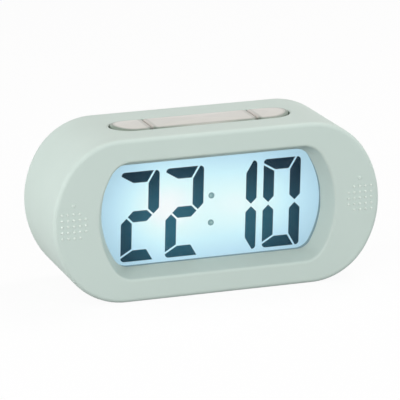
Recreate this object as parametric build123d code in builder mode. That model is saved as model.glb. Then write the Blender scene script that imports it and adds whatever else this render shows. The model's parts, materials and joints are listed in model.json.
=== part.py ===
"""Digital alarm clock: a soft silicone sleeve over a two-part case, with a lit display set back in front,
three translucent keys on top, and the setting keys, alarm slide and battery bay behind.

The frame has its origin under the middle of the clock: +X to the right, +Y to the back, +Z up.
"""

import os
from math import atan, cos, degrees, radians, sin, tan

from build123d import *

os.makedirs("parts", exist_ok=True)

# Overall form, in millimetres and degrees
length = 135.0
height = 66.0
depth = 50.0
corner_offset = 6.0  # corner arc centres, above and below mid height
corner_angle = 33.5  # where the corner arcs run into the wide end arcs
front_edge_radius = 1.8
rear_edge_radius = 3.5

# Silicone sleeve
sleeve_wall = 2.2
lip_thickness = 2.0
lip_width = 3.8
frame_side = 21.8  # sleeve front, from the end of the clock to the inner edge of the recess
frame_top = 12.3
recess_depth = 9.0
recess_flare = 3.1
recess_wall = 1.6
recess_rim = 1.0
window_corner_radius = 6.5
window_angle = 31.0
nub_diameter = 1.1
nub_height = 0.35
nub_draft_angle = 30.0
nub_root = 0.4
nub_pitch = 2.4
nub_columns = 5
nub_rows = 5
nub_inset = 8.25  # from the end of the clock to the middle of a cluster
nub_rise = 0.4
nub_sides = 8
mark_diameter = 1.7
mark_rise = 8.6

# Case halves
case_gap = 0.1
case_wall = 2.0
funnel_wall = 1.6
panel_gap = 0.4
panel_recess = 1.0
seam_lip_wall = 1.2
seam_lip_depth = 2.5
seam_clearance = 0.15
case_boss_diameter = 5.6
case_boss_rise = 10.0
board_boss_diameter = 4.0
board_boss_inset = 5.3  # from the top of the board down to its bosses
boss_clearance = 0.5

# Display stack, from the lens back to the board
lens_thickness = 1.5
lens_space = 0.4
polariser_thickness = 0.2
glass_thickness = 0.7
cell_gap = 0.1
segment_thickness = 0.06
diffuser_thickness = 0.3
lcd_margin = 0.5
lcd_ledge = 2.6
light_depth = 6.0
light_floor = 1.0
light_wall = 1.0
light_shoulder = 0.8
seat_clearance = 0.1
strip_width = 1.6
strip_inset = 6.0
led_spacing = 36.0
led_width = 3.5
led_height = 2.8
led_depth = 1.9

# Digits of the display
digit_margin = 2.1  # window above and below a centred row of digits
digit_side_margin = 7.95
digit_stroke = 5.25
digit_space = 2.0
colon_space = 5.9
digit_slant = 2.65
digit_gap = 0.75
digit_radius = 1.9
digit_drop = 1.35  # digits sit a little under mid height
digit_shift = 0.4
left_mitre = 2.1
right_mitre = 2.15
colon_diameter = 2.5
colon_spacing = 11.1
shown_time = ("2", "2", "1", "0")
lit_segments = {"0": "abcdef", "1": "bc", "2": "abged"}

# Boards
board_thickness = 1.6
board_corner_radius = 7.0
small_board_thickness = 1.2
chip_diameter = 14.0
chip_height = 1.6
chip_edge = 1.0
chip_x = 10.0
chip_z = 30.0
crystal_diameter = 2.0
crystal_length = 6.0
crystal_x = -12.0
crystal_z = 38.0
capacitor_diameter = 5.0
capacitor_height = 6.0
capacitor_edge = 0.3
capacitor_z = 30.0
buzzer_diameter = 12.0
buzzer_height = 6.5
buzzer_port_diameter = 3.0
buzzer_port_depth = 1.5
buzzer_z = 26.0
ribbon_width = 10.0
ribbon_thickness = 0.4
ribbon_x = 11.0
ribbon_sag = 2.2

# Keys on top
strip_end_margin = 1.2  # from the end of the strip to the end of the flat top
strip_depth = 19.0
strip_y = -1.5
strip_edge = 0.4
key_gap = 0.6
key_seam = 1.0
end_key_length = 14.5
key_rise = 0.8
key_edge = 0.7
key_travel = 0.8
key_clearance = 0.1
flange_grow = 1.2
flange_thickness = 1.2
stem_diameter = 3.5
stem_length = 0.9

# Push switches under every key
switch_size = 6.0
switch_height = 3.4
plunger_diameter = 3.0
plunger_clearance = 0.1
plunger_show = 1.2
plunger_sunk = 0.9
bore_spare = 0.3

# Keys and slide on the back
rear_key_length = 10.0
rear_key_height = 5.5
rear_row_pitch = 12.0
rear_key_travel = 0.7
rear_key_gap = 0.3
rear_flange_grow = 1.0
rear_board_margin = 4.0
slide_travel = 2.5
slide_length = 4.0
slide_height = 4.0
slide_flange_thickness = 1.0
slide_flange_lap = 0.5
slide_rise = 1.1
slide_ribs = 3
slide_rib_pitch = 1.2
slide_rib_depth = 0.4
slide_body_length = 8.0
slide_body_height = 4.0
actuator_width = 2.0
actuator_height = 1.5
actuator_clearance = 0.3

# Battery bay with three slim cells
cell_diameter = 10.5
cell_length = 44.5
cell_nub_diameter = 3.8
cell_nub_height = 0.8
cell_spacing = 0.5
cell_clearance = 0.4
cell_seat = 0.1
contact_space = 2.6
contact_thickness = 0.5
contact_height = 8.0
contact_width = 8.0
leaf_width = 6.0
leaf_span = 7.0
leaf_thickness = 0.4
dimple_diameter = 4.0
dimple_top = 2.6
tab_width = 3.0
tab_length = 2.5
tab_slot_clearance = 0.15
bay_wall = 1.5
bay_bottom = 11.5
door_lap = 1.2
door_thickness = 1.8
door_gap = 0.3
door_corner_radius = 3.0
hinge_tab_width = 8.0
hinge_tab_spacing = 32.0
hinge_tab_thickness = 1.4
hinge_tab_length = 3.0
hinge_tab_root = 4.0
hinge_tab_clearance = 0.2
hinge_pocket_side = 0.5
hinge_notch_depth = 3.4
latch_width = 12.0
latch_length = 9.0
latch_slit = 0.8
grip_ribs = 3
grip_pitch = 2.0
grip_width = 8.0
grip_height = 0.8
grip_rise = 0.5
lead_diameter = 1.2

# Sound slots in the back
sound_slots = 4
sound_drop = 13.5  # from mid height down to the middle of the slots
sound_slot_length = 10.0
sound_slot_width = 1.2
sound_slot_pitch = 2.6

# Fasteners
screw_clearance = 0.05
hole_clearance = 0.2
board_screw_diameter = 1.8
board_screw_head = 3.6
board_screw_head_height = 1.2
board_screw_length = 6.0
case_screw_diameter = 2.2
case_screw_head = 4.2
case_screw_head_height = 1.4
case_screw_length = 11.0
case_screw_sunk = 1.6
pilot_spare = 1.0

# Levels along the depth, worked out from the sizes above
front_y = -depth / 2
rear_y = depth / 2
case_inset = sleeve_wall + case_gap
cavity_inset = case_inset + case_wall
case_front = front_y + case_inset
case_floor = case_front + case_wall
plate_rear = rear_y - lip_thickness - case_gap
plate_front = plate_rear - case_wall
panel_rear = rear_y - panel_recess
panel_inset = sleeve_wall + lip_width + panel_gap
lens_front = front_y + recess_depth + case_gap
lens_rear = lens_front + lens_thickness
front_film_y = lens_rear + lens_space
front_glass_y = front_film_y + polariser_thickness
cell_y = front_glass_y + glass_thickness
rear_glass_y = cell_y + cell_gap
rear_film_y = rear_glass_y + glass_thickness
diffuser_y = rear_film_y + polariser_thickness
light_y = diffuser_y + diffuser_thickness
board_y = light_y + light_depth + light_floor
board_rear = board_y + board_thickness

# Widths and heights of the display stack, measured from its middle
middle = height / 2
window_length = length - 2 * frame_side
window_height = height - 2 * frame_top
window_offset = window_height / 2 - window_corner_radius
digit_height = window_height - 2 * digit_margin
digit_row = window_length - 2 * digit_side_margin
digit_width = (digit_row - colon_space - 2 * digit_space) / 4
flare_angle = degrees(atan(recess_flare / recess_depth))
lens_grow = recess_wall + case_gap + funnel_wall
lcd_half_length = window_length / 2 + lcd_margin
lcd_top = window_height / 2 + lcd_margin
lcd_bottom = -lcd_top - lcd_ledge
light_half_length = lcd_half_length + seat_clearance + light_wall
light_top = lcd_top + seat_clearance + light_wall
light_bottom = lcd_bottom - seat_clearance - light_wall
board_boss_rise = light_top - board_boss_inset
board_boss_x = light_half_length + boss_clearance + board_boss_diameter / 2
board_half_length = board_boss_x + board_boss_diameter / 2
case_boss_x = board_half_length + boss_clearance + case_boss_diameter / 2
case_boss_places = [(x, z) for x in (-case_boss_x, case_boss_x) for z in (-case_boss_rise, case_boss_rise)]
board_boss_places = [(x, z) for x in (-board_boss_x, board_boss_x) for z in (-board_boss_rise, board_boss_rise)]

# Levels of the keys on top
case_top = height - cavity_inset
key_top = height + key_rise
flange_top = case_top - key_clearance
flange_bottom = flange_top - flange_thickness
stem_bottom = flange_bottom - stem_length
switch_top = stem_bottom - plunger_show
key_board_top = switch_top - switch_height
key_board_bottom = key_board_top - small_board_thickness
flat_half_length = length / 2 - (height / 2 - corner_offset) - corner_offset * tan(radians(corner_angle / 2))
strip_length = 2 * (flat_half_length - strip_end_margin)
key_length = strip_length - 2 * key_gap
key_depth = strip_depth - 2 * key_gap
snooze_half = key_length / 2 - end_key_length - key_seam
end_key_x = key_length / 2 - end_key_length / 2
key_switch_y = board_rear + case_gap + boss_clearance + switch_size / 2
key_board_front = board_rear + boss_clearance
key_board_rear = key_switch_y + switch_size / 2 + boss_clearance
key_board_boss_x = key_length / 2 + flange_grow + boss_clearance + board_boss_diameter / 2
key_board_half = key_board_boss_x + board_boss_diameter / 2
top_switch_x = (-end_key_x, 0.0, end_key_x)

# Battery bay
door_inner = panel_rear - door_thickness
cell_axis_y = door_inner - cell_clearance - cell_diameter / 2
bay_floor = cell_axis_y - cell_diameter / 2 - cell_seat
bay_front = bay_floor - bay_wall
bay_half_length = cell_length / 2 + contact_space
bay_height = 3 * cell_diameter + 2 * cell_spacing + 2 * cell_clearance
bay_top = bay_bottom + bay_height
cell_levels = [bay_bottom + cell_clearance + cell_diameter / 2 + i * (cell_diameter + cell_spacing) for i in range(3)]
door_half_length = bay_half_length + door_lap
door_bottom = bay_bottom - door_lap
door_top = bay_top + door_lap
door_middle = (door_bottom + door_top) / 2 - middle
hinge_tab_rear = plate_front + hinge_tab_thickness - boss_clearance
hinge_tab_front = hinge_tab_rear - hinge_tab_thickness
lead_levels = (cell_levels[0], cell_levels[2])
contact_x = bay_half_length - contact_thickness

# Keys on the back, in a column on each side of the bay
rear_key_end = rear_y + nub_height
rear_flange_y = plate_front - key_clearance
rear_stem_y = rear_flange_y - flange_thickness
rear_plunger_y = rear_stem_y - stem_length
rear_switch_y = rear_plunger_y - plunger_show
rear_board_rear = rear_switch_y - switch_height
rear_board_front = rear_board_rear - small_board_thickness
bay_side = bay_half_length + bay_wall
rear_column_x = (bay_side + case_boss_x - case_boss_diameter / 2) / 2
rear_board_half = rear_column_x - bay_side - boss_clearance
rear_board_top = rear_row_pitch + rear_board_margin
rear_boss_rise = rear_row_pitch / 2
rear_boss_places = [(x, z) for x in (-rear_column_x, rear_column_x) for z in (-rear_boss_rise, rear_boss_rise)]
rear_key_places = {
    "time_key": (-rear_column_x, 0),
    "alarm_key": (-rear_column_x, -rear_row_pitch),
    "minus_key": (rear_column_x, 0),
    "plus_key": (rear_column_x, rear_row_pitch),
}
slide_place = (-rear_column_x, rear_row_pitch)


def rear_plane(y, place=(0, 0)):
    """Upright plane at depth y, its normal to the back and its x to the left, centred on a place from mid height."""
    return Plane(origin=(-place[0], y, middle + place[1]), x_dir=(-1, 0, 0), z_dir=(0, 1, 0))


def front_plane(y):
    """Upright plane at depth y, centred at mid height, with its normal to the front and its x to the right."""
    return Plane(origin=(0, y, middle), x_dir=(1, 0, 0), z_dir=(0, -1, 0))


def side_plane(x):
    """Upright plane across the clock at x: its x runs to the back and its y up."""
    return Plane(origin=(x, 0, 0), x_dir=(0, 1, 0), z_dir=(1, 0, 0))


def barrel(plane, long, tall, offset, angle):
    """Face with flat top and bottom, close corner arcs and wide end arcs, each tangent to the next."""
    corner_radius = tall / 2 - offset
    end_radius = corner_radius + offset / sin(radians(angle))
    end_x = long / 2 - end_radius
    corner_x = end_x + (end_radius - corner_radius) * cos(radians(angle))
    sweep_angle = 90 - angle
    with BuildSketch(plane) as face:
        with BuildLine():
            Line((-corner_x, tall / 2), (corner_x, tall / 2))
            CenterArc((corner_x, offset), corner_radius, angle, sweep_angle)
            CenterArc((end_x, 0), end_radius, -angle, 2 * angle)
            CenterArc((corner_x, -offset), corner_radius, -90, sweep_angle)
            Line((corner_x, -tall / 2), (-corner_x, -tall / 2))
            CenterArc((-corner_x, -offset), corner_radius, 180 + angle, sweep_angle)
            CenterArc((-end_x, 0), end_radius, 180 - angle, 2 * angle)
            CenterArc((-corner_x, offset), corner_radius, 90, sweep_angle)
        make_face()
    return face.sketch


def body_face(plane, inset):
    """The clock's outline, drawn in by inset all round."""
    return barrel(plane, length - 2 * inset, height - 2 * inset, corner_offset, corner_angle)


def window_face(plane, grow):
    """The display window's outline, drawn out by grow all round."""
    return barrel(plane, window_length + 2 * grow, window_height + 2 * grow, window_offset, window_angle)


def pill_face(plane, long, wide):
    """Straight sides and half-round ends."""
    with BuildSketch(plane) as face:
        SlotOverall(long, wide)
    return face.sketch


def discs(plane, places, diameter):
    """One disc at each place on the plane."""
    with BuildSketch(plane) as faces:
        with Locations(*places):
            Circle(diameter / 2)
    return faces.sketch


def block(low, high, mode=Mode.ADD):
    """Square-edged block between two opposite corners."""
    centre = tuple((a + b) / 2 for a, b in zip(low, high))
    with Locations(centre):
        Box(*[b - a for a, b in zip(low, high)], mode=mode)


def upright_plate(half_length, bottom, top, y_front, y_rear, mode=Mode.ADD):
    """Flat plate across the clock: bottom and top are measured from mid height."""
    block((-half_length, y_front, middle + bottom), (half_length, y_rear, middle + top), mode)


def finish(piece, name):
    """Names the finished piece and writes it."""
    piece.part.label = name
    export_step(piece.part, f"parts/{name}.step")


# Silicone sleeve: outer form, cavity with a turned-in rear lip, flared recess, key opening and nubs
strip_plane = Plane(origin=(0, strip_y, height - sleeve_wall))
nub_places = [
    (side * (length / 2 - nub_inset + (column - (nub_columns - 1) / 2) * nub_pitch),
     nub_rise + (row - (nub_rows - 1) / 2) * nub_pitch)
    for side in (-1, 1)
    for column in range(nub_columns)
    for row in range(nub_rows)
    if column > 0 or 0 < row < nub_rows - 1
]
mark_places = [(side * (length / 2 - nub_inset), mark_rise) for side in (-1, 1)]

with BuildPart() as silicone_sleeve:
    extrude(body_face(rear_plane(front_y), 0), amount=depth)
    fillet(silicone_sleeve.faces().sort_by(Axis.Y)[0].edges(), front_edge_radius)
    fillet(silicone_sleeve.faces().sort_by(Axis.Y)[-1].edges(), rear_edge_radius)
    cavity_depth = depth - sleeve_wall - lip_thickness
    extrude(body_face(rear_plane(front_y + sleeve_wall), sleeve_wall), amount=cavity_depth, mode=Mode.SUBTRACT)
    lip_opening = body_face(rear_plane(rear_y - lip_thickness), sleeve_wall + lip_width)
    extrude(lip_opening, amount=lip_thickness, mode=Mode.SUBTRACT)
    funnel = window_face(rear_plane(front_y), recess_flare + recess_wall)
    extrude(funnel, amount=recess_depth, taper=flare_angle)
    recess = window_face(rear_plane(front_y), recess_flare)
    extrude(recess, amount=recess_depth, taper=flare_angle, mode=Mode.SUBTRACT)
    rim = silicone_sleeve.faces().filter_by(Axis.Y).sort_by(Axis.Y)[0].inner_wires()[0]
    chamfer(rim.edges(), recess_rim)
    extrude(pill_face(strip_plane, strip_length, strip_depth), amount=sleeve_wall, mode=Mode.SUBTRACT)
    opening = silicone_sleeve.faces().filter_by(Axis.Z).sort_by(Axis.Z)[-1].inner_wires()[0]
    chamfer(opening.edges(), strip_edge)
    nub_plane = front_plane(front_y + nub_root)
    nub_reach = nub_root + nub_height
    for places, diameter in ((nub_places, nub_diameter), (mark_places, mark_diameter)):
        with BuildSketch(nub_plane) as nub_faces:
            with Locations(*places):
                RegularPolygon(diameter / 2, nub_sides)
        extrude(nub_faces.sketch, amount=nub_reach, taper=nub_draft_angle)
finish(silicone_sleeve, "silicone_sleeve")

# Front housing: tub with a funnel behind the recess, bosses for the boards and for the case screws
with BuildPart() as front_housing:
    extrude(body_face(rear_plane(case_front), case_inset), amount=plate_front - case_front)
    extrude(body_face(rear_plane(case_floor), cavity_inset), amount=plate_front - case_floor, mode=Mode.SUBTRACT)
    funnel_depth = lens_front - front_y
    funnel_outer = window_face(rear_plane(front_y), recess_flare + lens_grow)
    extrude(funnel_outer, amount=funnel_depth, taper=flare_angle)
    block((-length, -depth, 0), (length, case_front, height), Mode.SUBTRACT)
    funnel_inner = window_face(rear_plane(front_y), recess_flare + recess_wall + case_gap)
    extrude(funnel_inner, amount=funnel_depth, taper=flare_angle, mode=Mode.SUBTRACT)
    extrude(discs(rear_plane(case_floor), case_boss_places, case_boss_diameter), amount=plate_front - case_floor)
    extrude(discs(rear_plane(case_floor), board_boss_places, board_boss_diameter), amount=board_y - case_floor)
    case_pilot = case_screw_length - case_screw_sunk + pilot_spare
    pilot_face = discs(front_plane(plate_front), case_boss_places, case_screw_diameter + 2 * screw_clearance)
    extrude(pilot_face, amount=case_pilot, mode=Mode.SUBTRACT)
    pilot_face = discs(front_plane(board_y), board_boss_places, board_screw_diameter + 2 * screw_clearance)
    extrude(pilot_face, amount=board_screw_length, mode=Mode.SUBTRACT)
    key_boss_places = [(x, key_switch_y) for x in (-key_board_boss_x, key_board_boss_x)]
    key_boss_plane = Plane.XY.offset(key_board_top)
    extrude(discs(key_boss_plane, key_boss_places, board_boss_diameter), amount=case_top - key_board_top)
    pilot_face = discs(key_boss_plane, key_boss_places, board_screw_diameter + 2 * screw_clearance)
    extrude(pilot_face, amount=board_screw_length, mode=Mode.SUBTRACT)
    key_hole_plane = Plane(origin=(0, strip_y, case_top))
    key_hole = pill_face(key_hole_plane, strip_length, strip_depth)
    extrude(key_hole, amount=case_wall, mode=Mode.SUBTRACT)
finish(front_housing, "front_housing")

# Rear housing: plate with a raised panel, locating lip, battery bay, key holes, slide slot and sound slots
tab_centres = (-hinge_tab_spacing / 2, hinge_tab_spacing / 2)
sound_places = [
    (rear_column_x, (i - (sound_slots - 1) / 2) * sound_slot_pitch - sound_drop) for i in range(sound_slots)
]

with BuildPart() as rear_housing:
    extrude(body_face(rear_plane(plate_front), case_inset), amount=case_wall)
    extrude(body_face(rear_plane(plate_front), panel_inset), amount=panel_rear - plate_front)
    lip_plane = front_plane(plate_front)
    extrude(body_face(lip_plane, cavity_inset + seam_clearance), amount=seam_lip_depth)
    lip_hollow = body_face(lip_plane, cavity_inset + seam_clearance + seam_lip_wall)
    extrude(lip_hollow, amount=seam_lip_depth, mode=Mode.SUBTRACT)
    bay_low = bay_bottom - bay_wall - middle
    bay_high = bay_top + bay_wall - middle
    upright_plate(bay_side, bay_low, bay_high, bay_front, plate_rear)
    upright_plate(bay_half_length, bay_bottom - middle, bay_top - middle, bay_floor, panel_rear, Mode.SUBTRACT)
    with BuildSketch(rear_plane(door_inner)) as door_seat:
        with Locations((0, door_middle)):
            seat_height = door_top - door_bottom + 2 * door_gap
            RectangleRounded(2 * (door_half_length + door_gap), seat_height, door_corner_radius + door_gap)
    extrude(door_seat.sketch, amount=door_thickness, mode=Mode.SUBTRACT)
    for x in tab_centres:
        half = hinge_tab_width / 2 + hinge_pocket_side
        notch_y = plate_front - hinge_notch_depth
        pocket_z = door_bottom - hinge_tab_length - hinge_pocket_side
        pocket_y = hinge_tab_rear + hinge_tab_clearance
        block((x - half, notch_y, pocket_z), (x + half, pocket_y, door_bottom), Mode.SUBTRACT)
        block((x - half, notch_y, door_bottom - door_gap), (x + half, door_inner, bay_bottom), Mode.SUBTRACT)
    extrude(discs(lip_plane, rear_boss_places, board_boss_diameter), amount=plate_front - rear_board_rear)
    pilot_face = discs(rear_plane(rear_board_rear), rear_boss_places, board_screw_diameter + 2 * screw_clearance)
    extrude(pilot_face, amount=board_screw_length, mode=Mode.SUBTRACT)
    screw_face = discs(rear_plane(plate_front), case_boss_places, case_screw_diameter + 2 * hole_clearance)
    extrude(screw_face, amount=panel_rear - plate_front, mode=Mode.SUBTRACT)
    head_plane = rear_plane(panel_rear - case_screw_sunk)
    head_face = discs(head_plane, case_boss_places, case_screw_head + 2 * hole_clearance)
    extrude(head_face, amount=case_screw_sunk, mode=Mode.SUBTRACT)
    with BuildSketch(rear_plane(plate_front)) as rear_holes:
        with Locations(*rear_key_places.values()):
            SlotOverall(rear_key_length + 2 * rear_key_gap, rear_key_height + 2 * rear_key_gap)
        with Locations(slide_place):
            Rectangle(slide_length + slide_travel + 2 * rear_key_gap, slide_height + 2 * rear_key_gap)
        with Locations(*sound_places):
            SlotOverall(sound_slot_length, sound_slot_width)
    extrude(rear_holes.sketch, amount=panel_rear - plate_front, mode=Mode.SUBTRACT)
    tab_slot_half = contact_thickness / 2 + tab_slot_clearance
    for side, level in zip((1, -1), lead_levels):
        slot_x = side * (contact_x + contact_thickness / 2)
        slot_z = tab_width / 2 + tab_slot_clearance
        slot_low = (slot_x - tab_slot_half, bay_front, level - slot_z)
        block(slot_low, (slot_x + tab_slot_half, bay_floor, level + slot_z), Mode.SUBTRACT)
finish(rear_housing, "rear_housing")

# Clear lens at the end of the recess
with BuildPart() as window_lens:
    extrude(window_face(rear_plane(lens_front), lens_grow), amount=lens_thickness)
finish(window_lens, "window_lens")

# Display cell: films, two glasses and the dark segments between them
display_plates = (
    ("lcd_front_film", lcd_bottom + lcd_ledge, front_film_y, polariser_thickness),
    ("lcd_front_glass", lcd_bottom, front_glass_y, glass_thickness),
    ("lcd_rear_glass", lcd_bottom + lcd_ledge, rear_glass_y, glass_thickness),
    ("lcd_rear_film", lcd_bottom + lcd_ledge, rear_film_y, polariser_thickness),
    ("diffuser_film", lcd_bottom + lcd_ledge, diffuser_y, diffuser_thickness),
)
for plate_name, plate_bottom, plate_y, plate_thickness in display_plates:
    with BuildPart() as display_plate:
        upright_plate(lcd_half_length, plate_bottom, lcd_top, plate_y, plate_y + plate_thickness)
    finish(display_plate, plate_name)


def segment_points(name):
    """Corners of one digit segment, from the digit's lower left; the last item is the corner to round, if any."""
    wide, tall, stroke = digit_width, digit_height, digit_stroke
    waist = tall / 2
    upper = {
        "a": [(0, tall - left_mitre), (0, tall), (wide - right_mitre, tall), (wide - stroke, tall - stroke),
              (stroke, tall - stroke)],
        "b": [(wide - right_mitre, tall), (wide, tall), (wide, waist + stroke / 2), (wide - stroke / 2, waist),
              (wide - stroke, waist + stroke / 2), (wide - stroke, tall - stroke)],
        "f": [(0, tall - left_mitre), (stroke, tall - stroke), (stroke, waist + stroke / 2), (stroke / 2, waist),
              (0, waist + stroke / 2)],
        "g": [(stroke / 2, waist), (stroke, waist + stroke / 2), (wide - stroke, waist + stroke / 2),
              (wide - stroke / 2, waist), (wide - stroke, waist - stroke / 2), (stroke, waist - stroke / 2)],
    }
    rounded = {"a": (0, tall), "b": (wide, tall)}
    twin = {"d": "a", "c": "b", "e": "f"}.get(name)
    if twin:
        corner = rounded.get(twin)
        return [(x, tall - z) for x, z in upper[twin]], corner and (corner[0], tall - corner[1])
    return upper[name], rounded.get(name)


def slanted(point, digit_x):
    """A digit's point on the display, leaning to the right by the slant."""
    rise = point[1] - digit_height / 2
    return (digit_x + point[0] - digit_width / 2 + rise * tan(radians(digit_slant)), rise - digit_drop)


def segment_face(name, digit_x):
    """One segment, trimmed by half the gap all round."""
    points, corner = segment_points(name)
    with BuildSketch(front_plane(rear_glass_y)) as face:
        Polygon(*[slanted(point, digit_x) for point in points], align=None)
        if corner:
            sharp = slanted(corner, digit_x)
            fillet(face.vertices().sort_by_distance((*sharp, 0))[0], digit_radius)
        offset(amount=-digit_gap / 2, kind=Kind.INTERSECTION, mode=Mode.REPLACE)
    return face.sketch


inner_x = (colon_space + digit_width) / 2
outer_x = inner_x + digit_space + digit_width
digit_places = [digit_shift + x for x in (-outer_x, -inner_x, inner_x, outer_x)]
colon_rise = colon_spacing / 2
colon_lean = colon_rise * tan(radians(digit_slant))

with BuildPart() as lcd_segments:
    for digit, digit_x in zip(shown_time, digit_places):
        for segment in lit_segments[digit]:
            extrude(segment_face(segment, digit_x), amount=segment_thickness)
    colon_places = [(digit_shift + side * colon_lean, side * colon_rise - digit_drop) for side in (-1, 1)]
    extrude(discs(front_plane(rear_glass_y), colon_places, colon_diameter), amount=segment_thickness)
finish(lcd_segments, "lcd_segments")

# White light box: pocket for the display cell, shoulder under the diffuser, lamp windows and strip slot
strip_half_length = lcd_half_length - strip_inset
strip_low = lcd_bottom + (lcd_ledge - strip_width) / 2
strip_high = strip_low + strip_width
led_places = [(-led_spacing / 2, 0), (led_spacing / 2, 0)]

with BuildPart() as light_box:
    upright_plate(light_half_length, light_bottom, light_top, front_glass_y, board_y)
    pocket_half = lcd_half_length + seat_clearance
    pocket_top = lcd_top + seat_clearance
    pocket_bottom = lcd_bottom - seat_clearance
    upright_plate(pocket_half, pocket_bottom, pocket_top, front_glass_y, rear_glass_y, Mode.SUBTRACT)
    cell_bottom = lcd_bottom + lcd_ledge - seat_clearance
    upright_plate(pocket_half, cell_bottom, pocket_top, rear_glass_y, light_y, Mode.SUBTRACT)
    light_half = lcd_half_length - light_shoulder
    light_low = lcd_bottom + lcd_ledge + light_shoulder
    upright_plate(light_half, light_low, lcd_top - light_shoulder, light_y, light_y + light_depth, Mode.SUBTRACT)
    slot_half = strip_half_length + seat_clearance
    upright_plate(slot_half, strip_low - seat_clearance, strip_high + seat_clearance, cell_y, board_y, Mode.SUBTRACT)
    with BuildSketch(front_plane(board_y)) as led_windows:
        with Locations(*led_places):
            Rectangle(led_width + 2 * seat_clearance, led_height + 2 * seat_clearance)
    extrude(led_windows.sketch, amount=light_floor, mode=Mode.SUBTRACT)
finish(light_box, "light_box")

with BuildPart() as backlight_leds:
    with BuildSketch(front_plane(board_y)) as led_faces:
        with Locations(*led_places):
            Rectangle(led_width, led_height)
    extrude(led_faces.sketch, amount=led_depth)
finish(backlight_leds, "backlight_leds")

with BuildPart() as contact_strip:
    upright_plate(strip_half_length, strip_low, strip_high, cell_y, board_y)
finish(contact_strip, "contact_strip")

# Main board and what is soldered to its back
with BuildPart() as main_board:
    with BuildSketch(rear_plane(board_y)) as board_outline:
        with Locations((0, (light_top + light_bottom) / 2)):
            RectangleRounded(2 * board_half_length, light_top - light_bottom, board_corner_radius)
    extrude(board_outline.sketch, amount=board_thickness)
    hole_face = discs(rear_plane(board_y), board_boss_places, board_screw_diameter + 2 * hole_clearance)
    extrude(hole_face, amount=board_thickness, mode=Mode.SUBTRACT)
finish(main_board, "main_board")


def on_board(x, z):
    """Plane on the back of the main board at x and z, facing the back."""
    return Plane(origin=(x, board_rear, z), x_dir=(-1, 0, 0), z_dir=(0, 1, 0))


with BuildPart() as chip_cover:
    extrude(discs(on_board(chip_x, chip_z), [(0, 0)], chip_diameter), amount=chip_height)
    chamfer(chip_cover.faces().sort_by(Axis.Y)[-1].edges(), chip_edge)
finish(chip_cover, "chip_cover")

with BuildPart() as quartz_crystal:
    crystal_plane = Plane(origin=(crystal_x, board_rear + crystal_diameter / 2, crystal_z))
    extrude(discs(crystal_plane, [(0, 0)], crystal_diameter), amount=crystal_length)
finish(quartz_crystal, "quartz_crystal")

with BuildPart() as capacitor:
    extrude(discs(on_board(rear_column_x, capacitor_z), [(0, 0)], capacitor_diameter), amount=capacitor_height)
    chamfer(capacitor.faces().sort_by(Axis.Y)[-1].edges(), capacitor_edge)
finish(capacitor, "capacitor")

with BuildPart() as buzzer:
    buzzer_plane = on_board(-rear_column_x, buzzer_z)
    extrude(discs(buzzer_plane, [(0, 0)], buzzer_diameter), amount=buzzer_height)
    port_plane = buzzer_plane.offset(buzzer_height - buzzer_port_depth)
    extrude(discs(port_plane, [(0, 0)], buzzer_port_diameter), amount=buzzer_port_depth, mode=Mode.SUBTRACT)
finish(buzzer, "buzzer")

# Key board under the top keys, with its push switches
with BuildPart() as key_board:
    board_low = (-key_board_half, key_board_front, key_board_bottom)
    block(board_low, (key_board_half, key_board_rear, key_board_top))
    hole_face = discs(Plane.XY.offset(key_board_bottom), key_boss_places, board_screw_diameter + 2 * hole_clearance)
    extrude(hole_face, amount=small_board_thickness, mode=Mode.SUBTRACT)
finish(key_board, "key_board")


def push_switches(plane, places, travel):
    """Square switch bodies on the plane, each with a bore for its plunger; called inside a part."""
    with BuildSketch(plane) as bodies:
        with Locations(*places):
            Rectangle(switch_size, switch_size)
    extrude(bodies.sketch, amount=switch_height)
    bore = plunger_sunk + travel + bore_spare
    bore_faces = discs(plane.offset(switch_height - bore), places, plunger_diameter + 2 * plunger_clearance)
    extrude(bore_faces, amount=bore, mode=Mode.SUBTRACT)


def plunger(plane, place):
    """The plunger of one push switch on the plane; called inside a part."""
    foot = plane.offset(switch_height - plunger_sunk)
    extrude(discs(foot, [place], plunger_diameter), amount=plunger_sunk + plunger_show)


key_switch_plane = Plane.XY.offset(key_board_top)
with BuildPart() as key_switches:
    push_switches(key_switch_plane, [(x, key_switch_y) for x in top_switch_x], key_travel)
finish(key_switches, "key_switches")

# Three translucent keys on top, each with a flange that stops it under the case
key_spans = (
    ("left_key", -key_length / 2 - flange_grow, -snooze_half - key_seam, top_switch_x[0]),
    ("snooze_bar", -snooze_half, snooze_half, top_switch_x[1]),
    ("right_key", snooze_half + key_seam, key_length / 2 + flange_grow, top_switch_x[2]),
)


def key_face(level, grow, x_low, x_high):
    """The part of the key strip's outline between two seams, drawn out by grow at its sides and ends."""
    with BuildSketch(Plane(origin=(0, strip_y, level))) as face:
        SlotOverall(key_length + 2 * grow, key_depth + 2 * grow)
        with Locations(((x_low + x_high) / 2, 0)):
            Rectangle(x_high - x_low, 2 * strip_depth, mode=Mode.INTERSECT)
    return face.sketch


for key_name, x_low, x_high, stem_x in key_spans:
    with BuildPart() as key:
        extrude(key_face(flange_bottom, flange_grow, x_low, x_high), amount=flange_thickness)
        extrude(key_face(flange_top, 0, x_low, x_high), amount=key_top - flange_top)
        chamfer(key.faces().sort_by(Axis.Z)[-1].edges(), key_edge)
        stem_face = discs(Plane.XY.offset(stem_bottom), [(stem_x, key_switch_y)], stem_diameter)
        extrude(stem_face, amount=stem_length)
    finish(key, key_name)
    with BuildPart() as key_plunger:
        plunger(key_switch_plane, (stem_x, key_switch_y))
    finish(key_plunger, key_name.split("_")[0] + "_plunger")

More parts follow.
